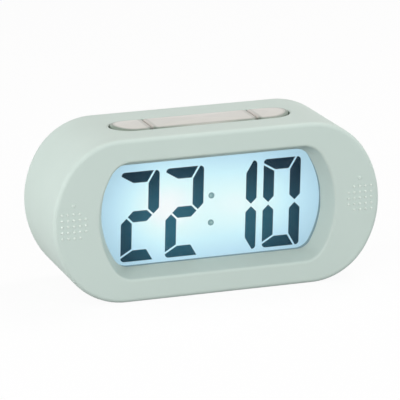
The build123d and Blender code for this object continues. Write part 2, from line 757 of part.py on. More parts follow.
# Boards behind the setting keys, each screwed to two bosses of the rear housing
rear_switch_plane = rear_plane(rear_board_rear)
rear_boards = (
    ("setting_board", -rear_column_x, -rear_board_top),
    ("step_board", rear_column_x, -rear_boss_rise - board_boss_diameter / 2 - boss_clearance),
)
for board_name, board_x, board_low in rear_boards:
    with BuildPart() as rear_board:
        with BuildSketch(rear_plane(rear_board_front)) as board_outline:
            with Locations((board_x, (board_low + rear_board_top) / 2)):
                Rectangle(2 * rear_board_half, rear_board_top - board_low)
            hole_radius = board_screw_diameter / 2 + hole_clearance
            with Locations((board_x, -rear_boss_rise), (board_x, rear_boss_rise)):
                Circle(hole_radius, mode=Mode.SUBTRACT)
        extrude(board_outline.sketch, amount=small_board_thickness)
    finish(rear_board, board_name)

with BuildPart() as rear_switches:
    push_switches(rear_switch_plane, rear_key_places.values(), rear_key_travel)
finish(rear_switches, "rear_switches")

actuator_depth = plunger_sunk
with BuildPart() as slide_switch:
    with BuildSketch(rear_switch_plane) as slide_body:
        with Locations(slide_place):
            Rectangle(slide_body_length, slide_body_height)
    extrude(slide_body.sketch, amount=switch_height)
    slot_y = switch_height - actuator_depth - bore_spare
    with BuildSketch(rear_switch_plane.offset(slot_y)) as slide_slot:
        with Locations(slide_place):
            slot_length = actuator_width + slide_travel + 2 * actuator_clearance
            Rectangle(slot_length, actuator_height + 2 * actuator_clearance)
    extrude(slide_slot.sketch, amount=switch_height - slot_y, mode=Mode.SUBTRACT)
finish(slide_switch, "slide_switch")

# Setting keys on the back
for key_name, key_place in rear_key_places.items():
    with BuildPart() as key:
        flange_plane = rear_plane(rear_stem_y, key_place)
        flange_length = rear_key_length + 2 * rear_flange_grow
        flange_height = rear_key_height + 2 * rear_flange_grow
        extrude(pill_face(flange_plane, flange_length, flange_height), amount=flange_thickness)
        reach = rear_key_end - rear_stem_y
        extrude(pill_face(flange_plane, rear_key_length, rear_key_height), amount=reach)
        chamfer(key.faces().sort_by(Axis.Y)[-1].edges(), key_edge)
        extrude(discs(flange_plane, [(0, 0)], stem_diameter), amount=-stem_length)
    finish(key, key_name)
    with BuildPart() as key_plunger:
        plunger(rear_switch_plane, key_place)
    finish(key_plunger, key_name.split("_")[0] + "_plunger")

# Alarm slide: ribbed knob on a flange, and the switch actuator that it carries
with BuildPart() as alarm_slide:
    slide_plane = rear_plane(rear_flange_y, (slide_place[0] + slide_travel / 2, slide_place[1]))
    flange_length = slide_length + 2 * (slide_travel + rear_key_gap + slide_flange_lap)
    with BuildSketch(slide_plane) as slide_flange:
        Rectangle(flange_length, slide_height + 2 * (rear_key_gap + slide_flange_lap))
    extrude(slide_flange.sketch, amount=-slide_flange_thickness)
    with BuildSketch(slide_plane) as slide_knob:
        Rectangle(slide_length, slide_height)
    slide_reach = panel_rear + slide_rise - rear_flange_y
    extrude(slide_knob.sketch, amount=slide_reach)
    with BuildSketch(slide_plane.offset(slide_reach - slide_rib_depth)) as slide_grooves:
        with GridLocations(slide_rib_pitch, slide_height, slide_ribs, 1):
            Rectangle(slide_rib_pitch / 2, slide_height)
    extrude(slide_grooves.sketch, amount=slide_rib_depth, mode=Mode.SUBTRACT)
finish(alarm_slide, "alarm_slide")

with BuildPart() as slide_actuator:
    actuator_plane = slide_plane.offset(-slide_flange_thickness)
    with BuildSketch(actuator_plane) as actuator:
        Rectangle(actuator_width, actuator_height)
    actuator_end = rear_board_rear + switch_height - actuator_depth
    extrude(actuator.sketch, amount=actuator_end - (rear_flange_y - slide_flange_thickness))
finish(slide_actuator, "slide_actuator")

# Flat cables between the boards
for ribbon_name, ribbon_side in (("setting_ribbon", rear_column_x), ("step_ribbon", -rear_column_x)):
    with BuildPart() as rear_ribbon:
        with BuildSketch(side_plane(ribbon_side - ribbon_width / 2)) as sagging_strip:
            with BuildLine():
                low_z = middle + rear_row_pitch
                high_z = low_z + ribbon_thickness
                middle_y = (board_rear + rear_board_front) / 2
                low = ThreePointArc((board_rear, low_z), (middle_y, low_z - ribbon_sag), (rear_board_front, low_z))
                high = ThreePointArc((board_rear, high_z), (middle_y, high_z - ribbon_sag), (rear_board_front, high_z))
                Line(low @ 0, high @ 0)
                Line(low @ 1, high @ 1)
            make_face()
        extrude(sagging_strip.sketch, amount=ribbon_width)
    finish(rear_ribbon, ribbon_name)

with BuildPart() as key_ribbon:
    bend_radius = key_switch_y - board_rear
    with BuildSketch(side_plane(ribbon_x - ribbon_width / 2)) as bent_strip:
        with BuildLine():
            bend_centre = (board_rear, key_board_bottom)
            outer = CenterArc(bend_centre, bend_radius, -90, 90)
            inner = CenterArc(bend_centre, bend_radius - ribbon_thickness, -90, 90)
            Line(outer @ 0, inner @ 0)
            Line(outer @ 1, inner @ 1)
        make_face()
    extrude(bent_strip.sketch, amount=ribbon_width)
finish(key_ribbon, "key_ribbon")

# Battery cells, laid head to tail
with BuildPart() as battery_cells:
    for i, level in enumerate(cell_levels):
        direction = -1 if i % 2 else 1
        cell_plane = Plane(origin=(-direction * cell_length / 2, cell_axis_y, level), z_dir=(direction, 0, 0))
        extrude(discs(cell_plane, [(0, 0)], cell_diameter), amount=cell_length - cell_nub_height)
        nub_base = cell_plane.offset(cell_length - cell_nub_height)
        extrude(discs(nub_base, [(0, 0)], cell_nub_diameter), amount=cell_nub_height)
finish(battery_cells, "battery_cells")


def contact(side, low, high, dimple_level=None, leaf_level=None, tab_level=None):
    """Sheet contact on one end wall: a plate, a dimple for a cell's head, a bowed leaf for its base, a tab."""
    outer = side * bay_half_length
    inner = side * contact_x
    bow = contact_space - contact_thickness - cell_seat
    half_width = contact_width / 2
    plate_low = (min(outer, inner), cell_axis_y - half_width, low - contact_height / 2)
    block(plate_low, (max(outer, inner), cell_axis_y + half_width, high + contact_height / 2))
    if dimple_level:
        dimple_plane = Plane(origin=(inner, cell_axis_y, dimple_level), z_dir=(-side, 0, 0))
        dimple_draft = degrees(atan((dimple_diameter - dimple_top) / 2 / bow))
        extrude(discs(dimple_plane, [(0, 0)], dimple_diameter), amount=bow, taper=dimple_draft)
    if leaf_level:
        leaf_plane = Plane(origin=(inner, cell_axis_y, leaf_level - leaf_width / 2), x_dir=(-side, 0, 0),
                           z_dir=(0, 0, 1))
        half_span = leaf_span / 2
        with BuildSketch(leaf_plane) as leaf:
            with BuildLine():
                back = ThreePointArc((0, -half_span), (bow, 0), (0, half_span))
                face = ThreePointArc((0, leaf_thickness - half_span), (bow - leaf_thickness, 0),
                                     (0, half_span - leaf_thickness))
                Line(back @ 0, face @ 0)
                Line(back @ 1, face @ 1)
            make_face()
        extrude(leaf.sketch, amount=leaf_width)
    if tab_level:
        tab_low = (min(outer, inner), bay_front - tab_length, tab_level - tab_width / 2)
        block(tab_low, (max(outer, inner), cell_axis_y, tab_level + tab_width / 2))


with BuildPart() as positive_contact:
    contact(1, cell_levels[0], cell_levels[0], dimple_level=cell_levels[0], tab_level=cell_levels[0])
finish(positive_contact, "positive_contact")

with BuildPart() as negative_contact:
    contact(-1, cell_levels[2], cell_levels[2], leaf_level=cell_levels[2], tab_level=cell_levels[2])
finish(negative_contact, "negative_contact")

with BuildPart() as bridge_contacts:
    contact(1, cell_levels[1], cell_levels[2], dimple_level=cell_levels[2], leaf_level=cell_levels[1])
    contact(-1, cell_levels[0], cell_levels[1], dimple_level=cell_levels[1], leaf_level=cell_levels[0])
finish(bridge_contacts, "bridge_contacts")

# Leads from the battery tabs to the main board
for lead_name, side, level in zip(("positive_lead", "negative_lead"), (1, -1), lead_levels):
    with BuildPart() as lead:
        lead_plane = on_board(side * (contact_x + contact_thickness / 2), level)
        extrude(discs(lead_plane, [(0, 0)], lead_diameter), amount=bay_front - tab_length - board_rear)
    finish(lead, lead_name)

# Battery door: flush plate with hinge tabs below, and a slit latch with grip ribs above
with BuildPart() as battery_door:
    with BuildSketch(rear_plane(door_inner)) as door_face:
        with Locations((0, door_middle)):
            RectangleRounded(2 * door_half_length, door_top - door_bottom, door_corner_radius)
    extrude(door_face.sketch, amount=door_thickness)
    for x in tab_centres:
        with BuildSketch(side_plane(x - hinge_tab_width / 2)) as tab_profile:
            with BuildLine():
                Polyline(
                    (hinge_tab_front, door_bottom - hinge_tab_length),
                    (hinge_tab_rear, door_bottom - hinge_tab_length),
                    (hinge_tab_rear, door_bottom),
                    (door_inner, door_bottom),
                    (door_inner, door_bottom + hinge_tab_root),
                    (hinge_tab_front, door_bottom + door_lap / 2),
                    close=True,
                )
            make_face()
        extrude(tab_profile.sketch, amount=hinge_tab_width)
    with BuildSketch(rear_plane(door_inner)) as latch_slits:
        slit_middle = door_top - latch_length / 2 - middle
        with Locations((-latch_width / 2, slit_middle), (latch_width / 2, slit_middle)):
            Rectangle(latch_slit, latch_length)
    extrude(latch_slits.sketch, amount=door_thickness, mode=Mode.SUBTRACT)
    grip_middle = door_top - latch_length / 2 - middle
    with BuildSketch(rear_plane(panel_rear)) as grip:
        with Locations(*[(0, grip_middle + (i - (grip_ribs - 1) / 2) * grip_pitch) for i in range(grip_ribs)]):
            SlotOverall(grip_width, grip_height)
    extrude(grip.sketch, amount=grip_rise)
finish(battery_door, "battery_door")


def screws(head_seat, places, diameter, head, head_height, long):
    """Pan-head screws whose heads stand on the plane and whose shanks go through it; called inside a part."""
    extrude(discs(head_seat, places, head), amount=head_height)
    extrude(discs(head_seat, places, diameter), amount=-long)


board_screw_sizes = (board_screw_diameter, board_screw_head, board_screw_head_height)
with BuildPart() as board_screws:
    screws(rear_plane(board_rear), board_boss_places, *board_screw_sizes, board_screw_length)
finish(board_screws, "board_screws")

with BuildPart() as key_board_screws:
    key_screw_plane = Plane(origin=(0, 0, key_board_bottom), x_dir=(1, 0, 0), z_dir=(0, 0, -1))
    flipped_places = [(x, -y) for x, y in key_boss_places]
    screws(key_screw_plane, flipped_places, *board_screw_sizes, board_screw_length)
finish(key_board_screws, "key_board_screws")

with BuildPart() as rear_board_screws:
    screws(front_plane(rear_board_front), rear_boss_places, *board_screw_sizes, board_screw_length)
finish(rear_board_screws, "rear_board_screws")

with BuildPart() as case_screws:
    case_screw_sizes = (case_screw_diameter, case_screw_head, case_screw_head_height)
    screws(head_plane, case_boss_places, *case_screw_sizes, case_screw_length)
finish(case_screws, "case_screws")
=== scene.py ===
"""Digital alarm clock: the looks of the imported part.

The soft sleeve, its nubs, the keys and the case screws are modelled here; the other pieces keep their
solids and get their finishes. Shapes are worked out in millimetres and written to the meshes in metres, in
the part's own frame: +X to the right, +Y to the back, +Z up, with the origin under the middle of the clock.
"""

import json
import math

import bmesh
import bpy
import numpy as np
from mathutils import Matrix, Vector


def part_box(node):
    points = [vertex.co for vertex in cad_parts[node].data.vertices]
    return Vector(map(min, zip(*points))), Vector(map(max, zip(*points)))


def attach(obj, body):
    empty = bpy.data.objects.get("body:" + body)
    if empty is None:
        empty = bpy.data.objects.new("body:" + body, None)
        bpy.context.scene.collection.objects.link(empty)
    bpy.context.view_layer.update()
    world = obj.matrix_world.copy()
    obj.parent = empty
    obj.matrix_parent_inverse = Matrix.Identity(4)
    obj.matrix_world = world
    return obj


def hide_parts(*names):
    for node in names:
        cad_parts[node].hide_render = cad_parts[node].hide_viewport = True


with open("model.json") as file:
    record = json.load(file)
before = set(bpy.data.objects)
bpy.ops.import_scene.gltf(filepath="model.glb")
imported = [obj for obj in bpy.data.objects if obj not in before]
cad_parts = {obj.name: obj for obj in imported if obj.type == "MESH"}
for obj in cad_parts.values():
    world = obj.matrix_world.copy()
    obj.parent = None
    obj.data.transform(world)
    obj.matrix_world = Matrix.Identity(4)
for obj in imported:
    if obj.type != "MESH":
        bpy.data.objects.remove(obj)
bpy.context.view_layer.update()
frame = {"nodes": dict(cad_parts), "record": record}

MM = 0.001


def box_of(node):
    """Lowest and highest corner of a node at rest, in millimetres."""
    return [np.array(corner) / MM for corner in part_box(node)]


# Form of the sleeve, in millimetres and degrees
sleeve_low, sleeve_high = box_of("silicone_sleeve")
nub_height = 0.35
half_length = sleeve_high[0]
half_height = sleeve_high[2] / 2
front_y = sleeve_low[1] + nub_height
rear_y = sleeve_high[1]
corner_offset = 6.0
corner_angle = 33.5
front_radius = 1.8
rear_radius = 3.5
sleeve_wall = 2.2
lip_width = 3.8
lip_thickness = 2.0
lip_radius = 0.7
inner_radius = 0.4

# Flared recess round the display
window_half_length = 45.7
window_half_height = 20.7
window_corner_radius = 6.5
window_offset = window_half_height - window_corner_radius
window_angle = 31.0
lens_gap = 0.1
recess_end = box_of("window_lens")[0][1] - lens_gap
recess_flare = 3.1
recess_wall = 1.6
rim_radius = 1.2
rim_flat = 1.6
edge_flat = 3.2

# Key strip on top
strip_edge = 0.5
key_gap = 0.6
key_reach = 0.3
seam_reach = 0.4
key_edge = 0.9
key_crown = 0.8
key_corner = 2.7
case_wall = 2.0
case_gap = 0.1
flange_thickness = 1.2
flange_grow = 1.2
stem_diameter = 3.5
stem_root = 0.4
strip_low, strip_high = box_of("left_key")[0], box_of("right_key")[1]
strip_y = (strip_low[1] + strip_high[1]) / 2
strip_half_length = strip_high[0] - flange_grow + key_gap
strip_half_depth = (strip_high[1] - strip_low[1]) / 2 - flange_grow + key_gap
top_flange_z = 2 * half_height - sleeve_wall - case_wall - 2 * case_gap
seam_x = (box_of("snooze_bar")[1][0] + box_of("right_key")[0][0]) / 2

# Rings of a key: the wall's share in the root of its flange, insets of its top and shares within them
root_share = 0.75
top_insets = (0.2, 0.5, 0.9, 1.4)
top_shares = (0.8, 0.5, 0.2)
seam_share = 0.95
least_radius = 0.02

# Setting keys on the back
rear_flange_y = 20.8
rear_flange_grow = 1.0
rear_key_edge = 0.6
rear_key_crown = 0.2

# Case screws in the back
head_diameter = 4.2
head_height = 1.4
head_crown = 0.35
head_rim = 0.3
shank_diameter = 2.2
shank_length = 11.0
cross_length = 2.3
cross_width = 0.65
cross_depth = 0.7
cross_slant = 0.2

# Raised nubs at the front's ends: a field of small ones, and a large one above it with less painted
# highlight
nub_diameter = 1.1
nub_pitch = 2.4
nub_rows = 5
nub_inset = 8.25
nub_rise = 0.4
nub_root = 0.15
large_nub_diameter = 1.7
large_nub_rise = 8.6
large_nub_highlight = 0.3

# Display edges: dark painted shadow outside the window and inside its top; glowing border of the front glass
edge_shadow_reach = 0.6
edge_shadow_fade = 0.2
frame_shadow_depth = 0.8
frame_shadow_fade = 0.45
border_reach = 0.25
border_fade = 0.1

# Lamps behind the display: place along and above the middle, spread along and upwards, strength
display_lamps = ((-18.0, 1.0, 20.0, 18.0, 1.0), (13.0, 0.0, 27.0, 18.0, 0.85))
segment_drop = 7.0

# Colon of the display: its middle, the rise and radius of each dot, and how many radii its colour reaches
colon_x = 0.4
colon_drop = 1.35
colon_rise = 5.55
colon_radius = 1.25
colon_reach = 1.6

# Painted shade on the top keys: insets over the rolled edge, bands at seams and foot; painted light
# mid-strip
rim_dark = 0.8
rim_grey = 1.5
rim_pale = 2.8
seam_shade_band = 0.9
seam_shade_fade = 1.7
foot_shade_start = 1.0
foot_shade_end = 4.0
middle_light_start = 4.0
middle_light_end = 16.0
middle_light_share = 0.75

# Steps of the grids, shares of the way from the flat top to the key opening, and the reach of eased edges
TOP_STEPS = 48
CORNER_STEPS = 18
END_STEPS = 30
SIDE_STEPS = 18
RECESS_STEPS = 4
REAR_STEPS = 2
SHORT_STEPS = 1
ARC_STEPS = 8
DOME_STEPS = 8
DOME_SIDES = 16
STEM_SIDES = 24
CROWN_STEPS = 30
SCREW_SIDES = 72
CORNER_POINTS = 11
SIDE_POINTS = 11
TOP_BLENDS = (0.4, 0.75)
EASE = 0.25

# Points closer than the first are merged and edges shorter than the second are dropped, in metres
MERGE_REACH = 1e-7
SLIVER_LENGTH = 1e-8


def put_mesh(name, points, faces, material, values=None):
    """Mesh object from points in millimetres and faces as rows of point numbers.

    Doubles are merged and faces turned outwards. Values, one for each point, are kept in the mesh as the
    attribute inside.
    """
    mesh = bpy.data.meshes.new(name)
    mesh.from_pydata((np.asarray(points) * MM).tolist(), [], np.asarray(faces).tolist())
    if values is not None:
        kept = mesh.attributes.new("inside", "FLOAT", "POINT")
        kept.data.foreach_set("value", np.asarray(values, np.float32))
    shape = bmesh.new()
    shape.from_mesh(mesh)
    bmesh.ops.remove_doubles(shape, verts=shape.verts, dist=MERGE_REACH)
    bmesh.ops.dissolve_degenerate(shape, edges=shape.edges, dist=SLIVER_LENGTH)
    bmesh.ops.recalc_face_normals(shape, faces=shape.faces)
    shape.to_mesh(mesh)
    shape.free()
    mesh.shade_smooth()
    mesh.materials.append(material)
    made = bpy.data.objects.new(name, mesh)
    bpy.context.scene.collection.objects.link(made)
    return made


def grid_faces(rings, columns, wrap_rings=False):
    """Quads of a grid whose columns close round: ring i, column j has the number i * columns + j."""
    ring_count = rings if wrap_rings else rings - 1
    i, j = np.meshgrid(np.arange(ring_count), np.arange(columns), indexing="ij")
    here, after = i * columns, (i + 1) % rings * columns
    along = (j + 1) % columns
    return np.stack([here + j, here + along, after + along, after + j], axis=-1)


def barrel_arcs(half_long, half_tall, offset, angle):
    """Turn at which the arcs of a barrel meet, then radius and middle of its corner and its end arcs."""
    turn = math.radians(angle)
    corner = half_tall - offset
    end = corner + offset / math.sin(turn)
    end_x = half_long - end
    corner_x = end_x + (end - corner) * math.cos(turn)
    return turn, corner, corner_x, end, end_x


def barrel(half_long, half_tall, offset, angle):
    """Outline with flat top and bottom, close corner arcs and wide end arcs, each tangent to the next.

    A corner arc has the radius r = half_tall - offset and its centre lies offset above or below mid height;
    an end arc has the radius r + offset / sin(angle). The right half runs along the top and down the right
    end, and the left half is the same turned by 180 degrees, so that any two outlines match point for point.
    """
    turn, corner, corner_x, end, end_x = barrel_arcs(half_long, half_tall, offset, angle)
    top = np.linspace(-corner_x, corner_x, TOP_STEPS, endpoint=False)
    upper = np.linspace(math.pi / 2, turn, CORNER_STEPS, endpoint=False)
    side = np.linspace(turn, -turn, END_STEPS, endpoint=False)
    lower = np.linspace(-turn, -math.pi / 2, CORNER_STEPS, endpoint=False)
    half = np.concatenate([
        np.stack([top, np.full(TOP_STEPS, half_tall)], axis=1),
        np.stack([corner_x + corner * np.cos(upper), offset + corner * np.sin(upper)], axis=1),
        np.stack([end_x + end * np.cos(side), end * np.sin(side)], axis=1),
        np.stack([corner_x + corner * np.cos(lower), -offset + corner * np.sin(lower)], axis=1),
    ])
    return np.concatenate([half, -half])


def upright(outline, y):
    """An outline stood up round mid height, at depth y."""
    return np.insert(outline + (0, half_height), 1, y, axis=1)


def body_ring(inset, y):
    """The sleeve's outline drawn in by inset, at depth y."""
    return upright(barrel(half_length - inset, half_height - inset, corner_offset, corner_angle), y)


def window_ring(grow, y):
    """The display window's outline drawn out by grow, at depth y."""
    half_long, half_tall = window_half_length + grow, window_half_height + grow
    return upright(barrel(half_long, half_tall, window_offset, window_angle), y)


def rounded_path(corners):
    """Path through corners (across, y, radius, steps): straight legs joined by tangent arcs.

    At a corner with unit directions u and v to its neighbours and the angle t between them, the arc starts
    radius / tan(t / 2) from the corner and its centre lies radius / sin(t / 2) along u + v; its points turn
    evenly from one tangent point to the other. Each leg gets its corner's steps, and a point close to each
    of its ends keeps the shading of flat stretches flat. Returns the points and, for each leg, its first
    and last number.
    """
    places = np.array([corner[:2] for corner in corners], float)
    ends = [(places[0], places[0])]
    arcs = [places[:1]]
    for before, here, after, (_, _, radius, _) in zip(places[:-2], places[1:-1], places[2:], corners[1:-1]):
        u = (before - here) / np.linalg.norm(before - here)
        v = (after - here) / np.linalg.norm(after - here)
        half_turn = math.acos(np.clip(u @ v, -1, 1)) / 2
        reach = radius / math.tan(half_turn)
        centre = here + (u + v) / np.linalg.norm(u + v) * radius / math.sin(half_turn)
        first, last = here + u * reach - centre, here + v * reach - centre
        sweep = math.pi - 2 * half_turn
        share = np.linspace(0, 1, ARC_STEPS + 1)[:, None]
        arc = centre + (np.sin((1 - share) * sweep) * first + np.sin(share * sweep) * last) / math.sin(sweep)
        arcs.append(arc)
        ends.append((arc[0], arc[-1]))
    arcs.append(places[-1:])
    ends.append((places[-1], places[-1]))
    points, legs = [], []
    for arc, (_, start), (stop, _), (_, _, _, steps) in zip(arcs[:-1], ends[:-1], ends[1:], corners[:-1]):
        points.extend(arc)
        near = EASE / np.linalg.norm(stop - start)
        even = np.linspace(0, 1, steps + 1)[1:-1]
        share = np.concatenate([[near], even, [1 - near]])[:, None]
        legs.append((len(points) - 1, len(points) + len(share)))
        points.extend(start + share * (stop - start))
    points.extend(arcs[-1])
    return np.array(points), legs


def pill_loop(grow, z):
    """The key opening's outline drawn out by grow, at height z: two straight sides and two half-round ends.

    Its points match the loop round the flat top: along the front, round the right end, along the back and
    round the left end.
    """
    radius = strip_half_depth + grow
    straight = strip_half_length - strip_half_depth
    steps = side_leg[1] - side_leg[0]
    along = np.linspace(-straight, straight, TOP_STEPS, endpoint=False)
    turn = np.linspace(-math.pi / 2, math.pi / 2, steps, endpoint=False)
    half = np.concatenate([
        np.stack([along, np.full(TOP_STEPS, -radius)], axis=1),
        np.stack([straight + radius * np.cos(turn), radius * np.sin(turn)], axis=1),
    ])
    loop = np.concatenate([half, -half]) + (0, strip_y)
    return np.column_stack([loop, np.full(len(loop), z)])


def flat_loop(front_ring, rear_ring):
    """Numbers of the grid points round the flat top between two rings, in the order of pill_loop."""
    step = 1 if rear_ring > front_ring else -1
    across = np.arange(front_ring, rear_ring, step)
    along = np.arange(TOP_STEPS)
    return np.concatenate([
        front_ring * column_count + along,
        across * column_count + TOP_STEPS,
        rear_ring * column_count + along[::-1] + 1,
        (across + step)[::-1] * column_count,
    ])


# Rings of the sleeve: out of the recess, over the front, along the side, round the lip and back inside
recess_path, _ = rounded_path([
    (0, recess_end, 0, RECESS_STEPS),
    (recess_flare, front_y, rim_radius, SHORT_STEPS),
    (recess_flare + rim_flat, front_y, 0, SHORT_STEPS),
])
skin_path, skin_legs = rounded_path([
    (edge_flat, front_y, 0, SHORT_STEPS),
    (0, front_y, front_radius, SIDE_STEPS),
    (0, rear_y, rear_radius, REAR_STEPS),
    (sleeve_wall + lip_width, rear_y, lip_radius, SHORT_STEPS),
    (sleeve_wall + lip_width, rear_y - lip_thickness, inner_radius, SHORT_STEPS),
    (sleeve_wall, rear_y - lip_thickness, inner_radius, SIDE_STEPS),
    (sleeve_wall, front_y + sleeve_wall, inner_radius, REAR_STEPS),
    (edge_flat + sleeve_wall, front_y + sleeve_wall, 0, SHORT_STEPS),
])
flare_slope = recess_flare / (recess_end - front_y)
funnel_grow = recess_flare + recess_wall
sleeve_rings = [window_ring(grow, y) for grow, y in recess_path]
skin_start = len(sleeve_rings)
sleeve_rings += [body_ring(inset, y) for inset, y in skin_path]
sleeve_rings.append(window_ring(funnel_grow - flare_slope * sleeve_wall, front_y + sleeve_wall))
sleeve_rings.append(window_ring(recess_wall, recess_end))
column_count = len(sleeve_rings[0])

# Legs of the skin that run along the outside and along the inside, by the number of their first corner
side_leg = [skin_start + number for number in skin_legs[1]]
cavity_leg = [skin_start + number for number in skin_legs[5]]


def sleeve_mesh():
    """Points and faces of the sleeve: a closed grid of rings, its flat top filled up to the key opening.

    The filling is a second grid of loops: from the flat top's border, blended into the opening's outline,
    over its rounded edge, down its wall and out again to the border of the flat inside.
    """
    quads = grid_faces(len(sleeve_rings), column_count, wrap_rings=True)
    keep = np.ones(quads.shape[:2], bool)
    keep[side_leg[0]:side_leg[1], :TOP_STEPS] = False
    keep[cavity_leg[0]:cavity_leg[1], :TOP_STEPS] = False
    points = np.concatenate(sleeve_rings)
    outer = flat_loop(side_leg[0], side_leg[1])
    inner = flat_loop(cavity_leg[1], cavity_leg[0])
    top = 2 * half_height
    edge = pill_loop(strip_edge + EASE, top)
    blends = [points[outer] + share * (edge - points[outer]) for share in TOP_BLENDS]
    rolled = [
        pill_loop(strip_edge * (1 - math.sin(t)), top - strip_edge * (1 - math.cos(t)))
        for t in np.linspace(0, math.pi / 2, ARC_STEPS + 1)
    ]
    foot = pill_loop(0, top - sleeve_wall)
    loops = [*blends, edge, *rolled, foot]
    new_numbers = len(points) + np.arange(len(loops) * len(outer)).reshape(len(loops), -1)
    numbers = np.vstack([outer, new_numbers, inner])
    ahead = np.roll(numbers, -1, axis=1)
    filling = np.stack([numbers[:-1], ahead[:-1], ahead[1:], numbers[1:]], axis=-1)
    return np.concatenate([points, *loops]), np.concatenate([quads[keep], filling.reshape(-1, 4)])


def dome(diameter, height, root, highlight_and_polish=1.0):
    """One nub as a turned profile over a root: its height falls off as sqrt(1 - s^2) from middle to rim.

    Each point's value is its share of the height times a share, which sets its painted highlight and polish.
    """
    share = np.sin(np.linspace(0, math.pi / 2, DOME_STEPS))
    across = np.concatenate([share, [1, 0]]) * diameter / 2
    up = np.concatenate([height * np.sqrt(1 - share ** 2), [-root, -root]])
    turn = np.linspace(0, 2 * math.pi, DOME_SIDES, endpoint=False)
    rise = np.repeat(up[:, None], DOME_SIDES, axis=1)
    value = np.maximum(rise, 0) / height * highlight_and_polish
    rings = np.stack([np.outer(across, np.cos(turn)), -rise, np.outer(across, np.sin(turn)), value], axis=-1)
    return rings.reshape(-1, 4), grid_faces(len(across), DOME_SIDES).reshape(-1, 4)


def repeated(points, faces, places):
    """Copies of one shape at each place, as one set of points and faces."""
    places = np.asarray(places, float)
    places = np.pad(places, ((0, 0), (0, points.shape[1] - places.shape[1])))
    copies = (points[None] + places[:, None]).reshape(-1, points.shape[1])
    shifts = np.arange(len(places)) * len(points)
    return copies, (faces[None] + shifts[:, None, None]).reshape(-1, faces.shape[1])


def joined(*shapes):
    """Several closed shapes as one set of points and faces."""
    starts = np.cumsum([0] + [len(points) for points, _ in shapes[:-1]])
    faces = [faces + start for (_, faces), start in zip(shapes, starts)]
    return np.concatenate([points for points, _ in shapes]), np.concatenate(faces)


def nub_cluster(side):
    """Shape of one end's nubs: a square field without its two inner corners, and a large nub above."""
    middle_x = side * (half_length - nub_inset)
    steps = (np.arange(nub_rows) - (nub_rows - 1) / 2) * nub_pitch
    x, z = (axis.ravel() for axis in np.meshgrid(steps, steps))
    kept = (side * x > steps[0]) | (np.abs(z) < steps[-1])
    x, z = x[kept] + middle_x, z[kept] + half_height + nub_rise
    small_places = np.column_stack([x, np.full(len(x), front_y), z])
    large_place = (middle_x, front_y, half_height + large_nub_rise)
    return joined(
        repeated(*dome(nub_diameter, nub_height, nub_root), small_places),
        repeated(*dome(large_nub_diameter, nub_height, nub_root, large_nub_highlight), [large_place]),
    )


def rounded_box(low, high, left, right, inset=0.0):
    """Outline of a box drawn in by inset, with one corner radius at its left end and one at its right.

    Its first half runs along the front and round the right end and its second half back round the left end;
    the point count is the same for every inset.
    """
    (x0, y0), (x1, y1) = np.asarray(low) + inset, np.asarray(high) - inset
    half = (y1 - y0) / 2
    left, right = (min(max(radius - inset, least_radius), half) for radius in (left, right))
    quarter = np.linspace(0, math.pi / 2, CORNER_POINTS)
    along = np.linspace(x0 + left, x1 - right, SIDE_POINTS + 2)[1:-1]
    corners = (
        (x1 - right, y0 + right, right, -math.pi / 2), (x1 - right, y1 - right, right, 0),
        (x0 + left, y1 - left, left, math.pi / 2), (x0 + left, y0 + left, left, math.pi),
    )
    arcs = [
        np.stack([x + radius * np.cos(quarter + start), y + radius * np.sin(quarter + start)], axis=1)
        for x, y, radius, start in corners
    ]
    front = np.column_stack([along, np.full(len(along), y0)])
    back = np.column_stack([along[::-1], np.full(len(along), y1)])
    return np.concatenate([front, arcs[0], arcs[1], back, arcs[2], arcs[3]])


def capped(rings):
    """Closed grid from outline rings: the first and the last are drawn together to their middle."""
    rings = [np.broadcast_to(rings[0].mean(axis=0), rings[0].shape)] + list(rings)
    rings.append(np.broadcast_to(rings[-1].mean(axis=0), rings[-1].shape))
    return np.concatenate(rings), grid_faces(len(rings), len(rings[0])).reshape(-1, 4)


def stem_shape(place, low, high):
    """A straight round stem of a key, closed at both ends."""
    turn = np.linspace(0, 2 * math.pi, STEM_SIDES, endpoint=False)
    circle = np.stack([np.cos(turn), np.sin(turn)], axis=1) * stem_diameter / 2 + place
    value = np.zeros(STEM_SIDES)
    return capped([np.column_stack([circle, np.full(STEM_SIDES, height), value]) for height in (low, high)])


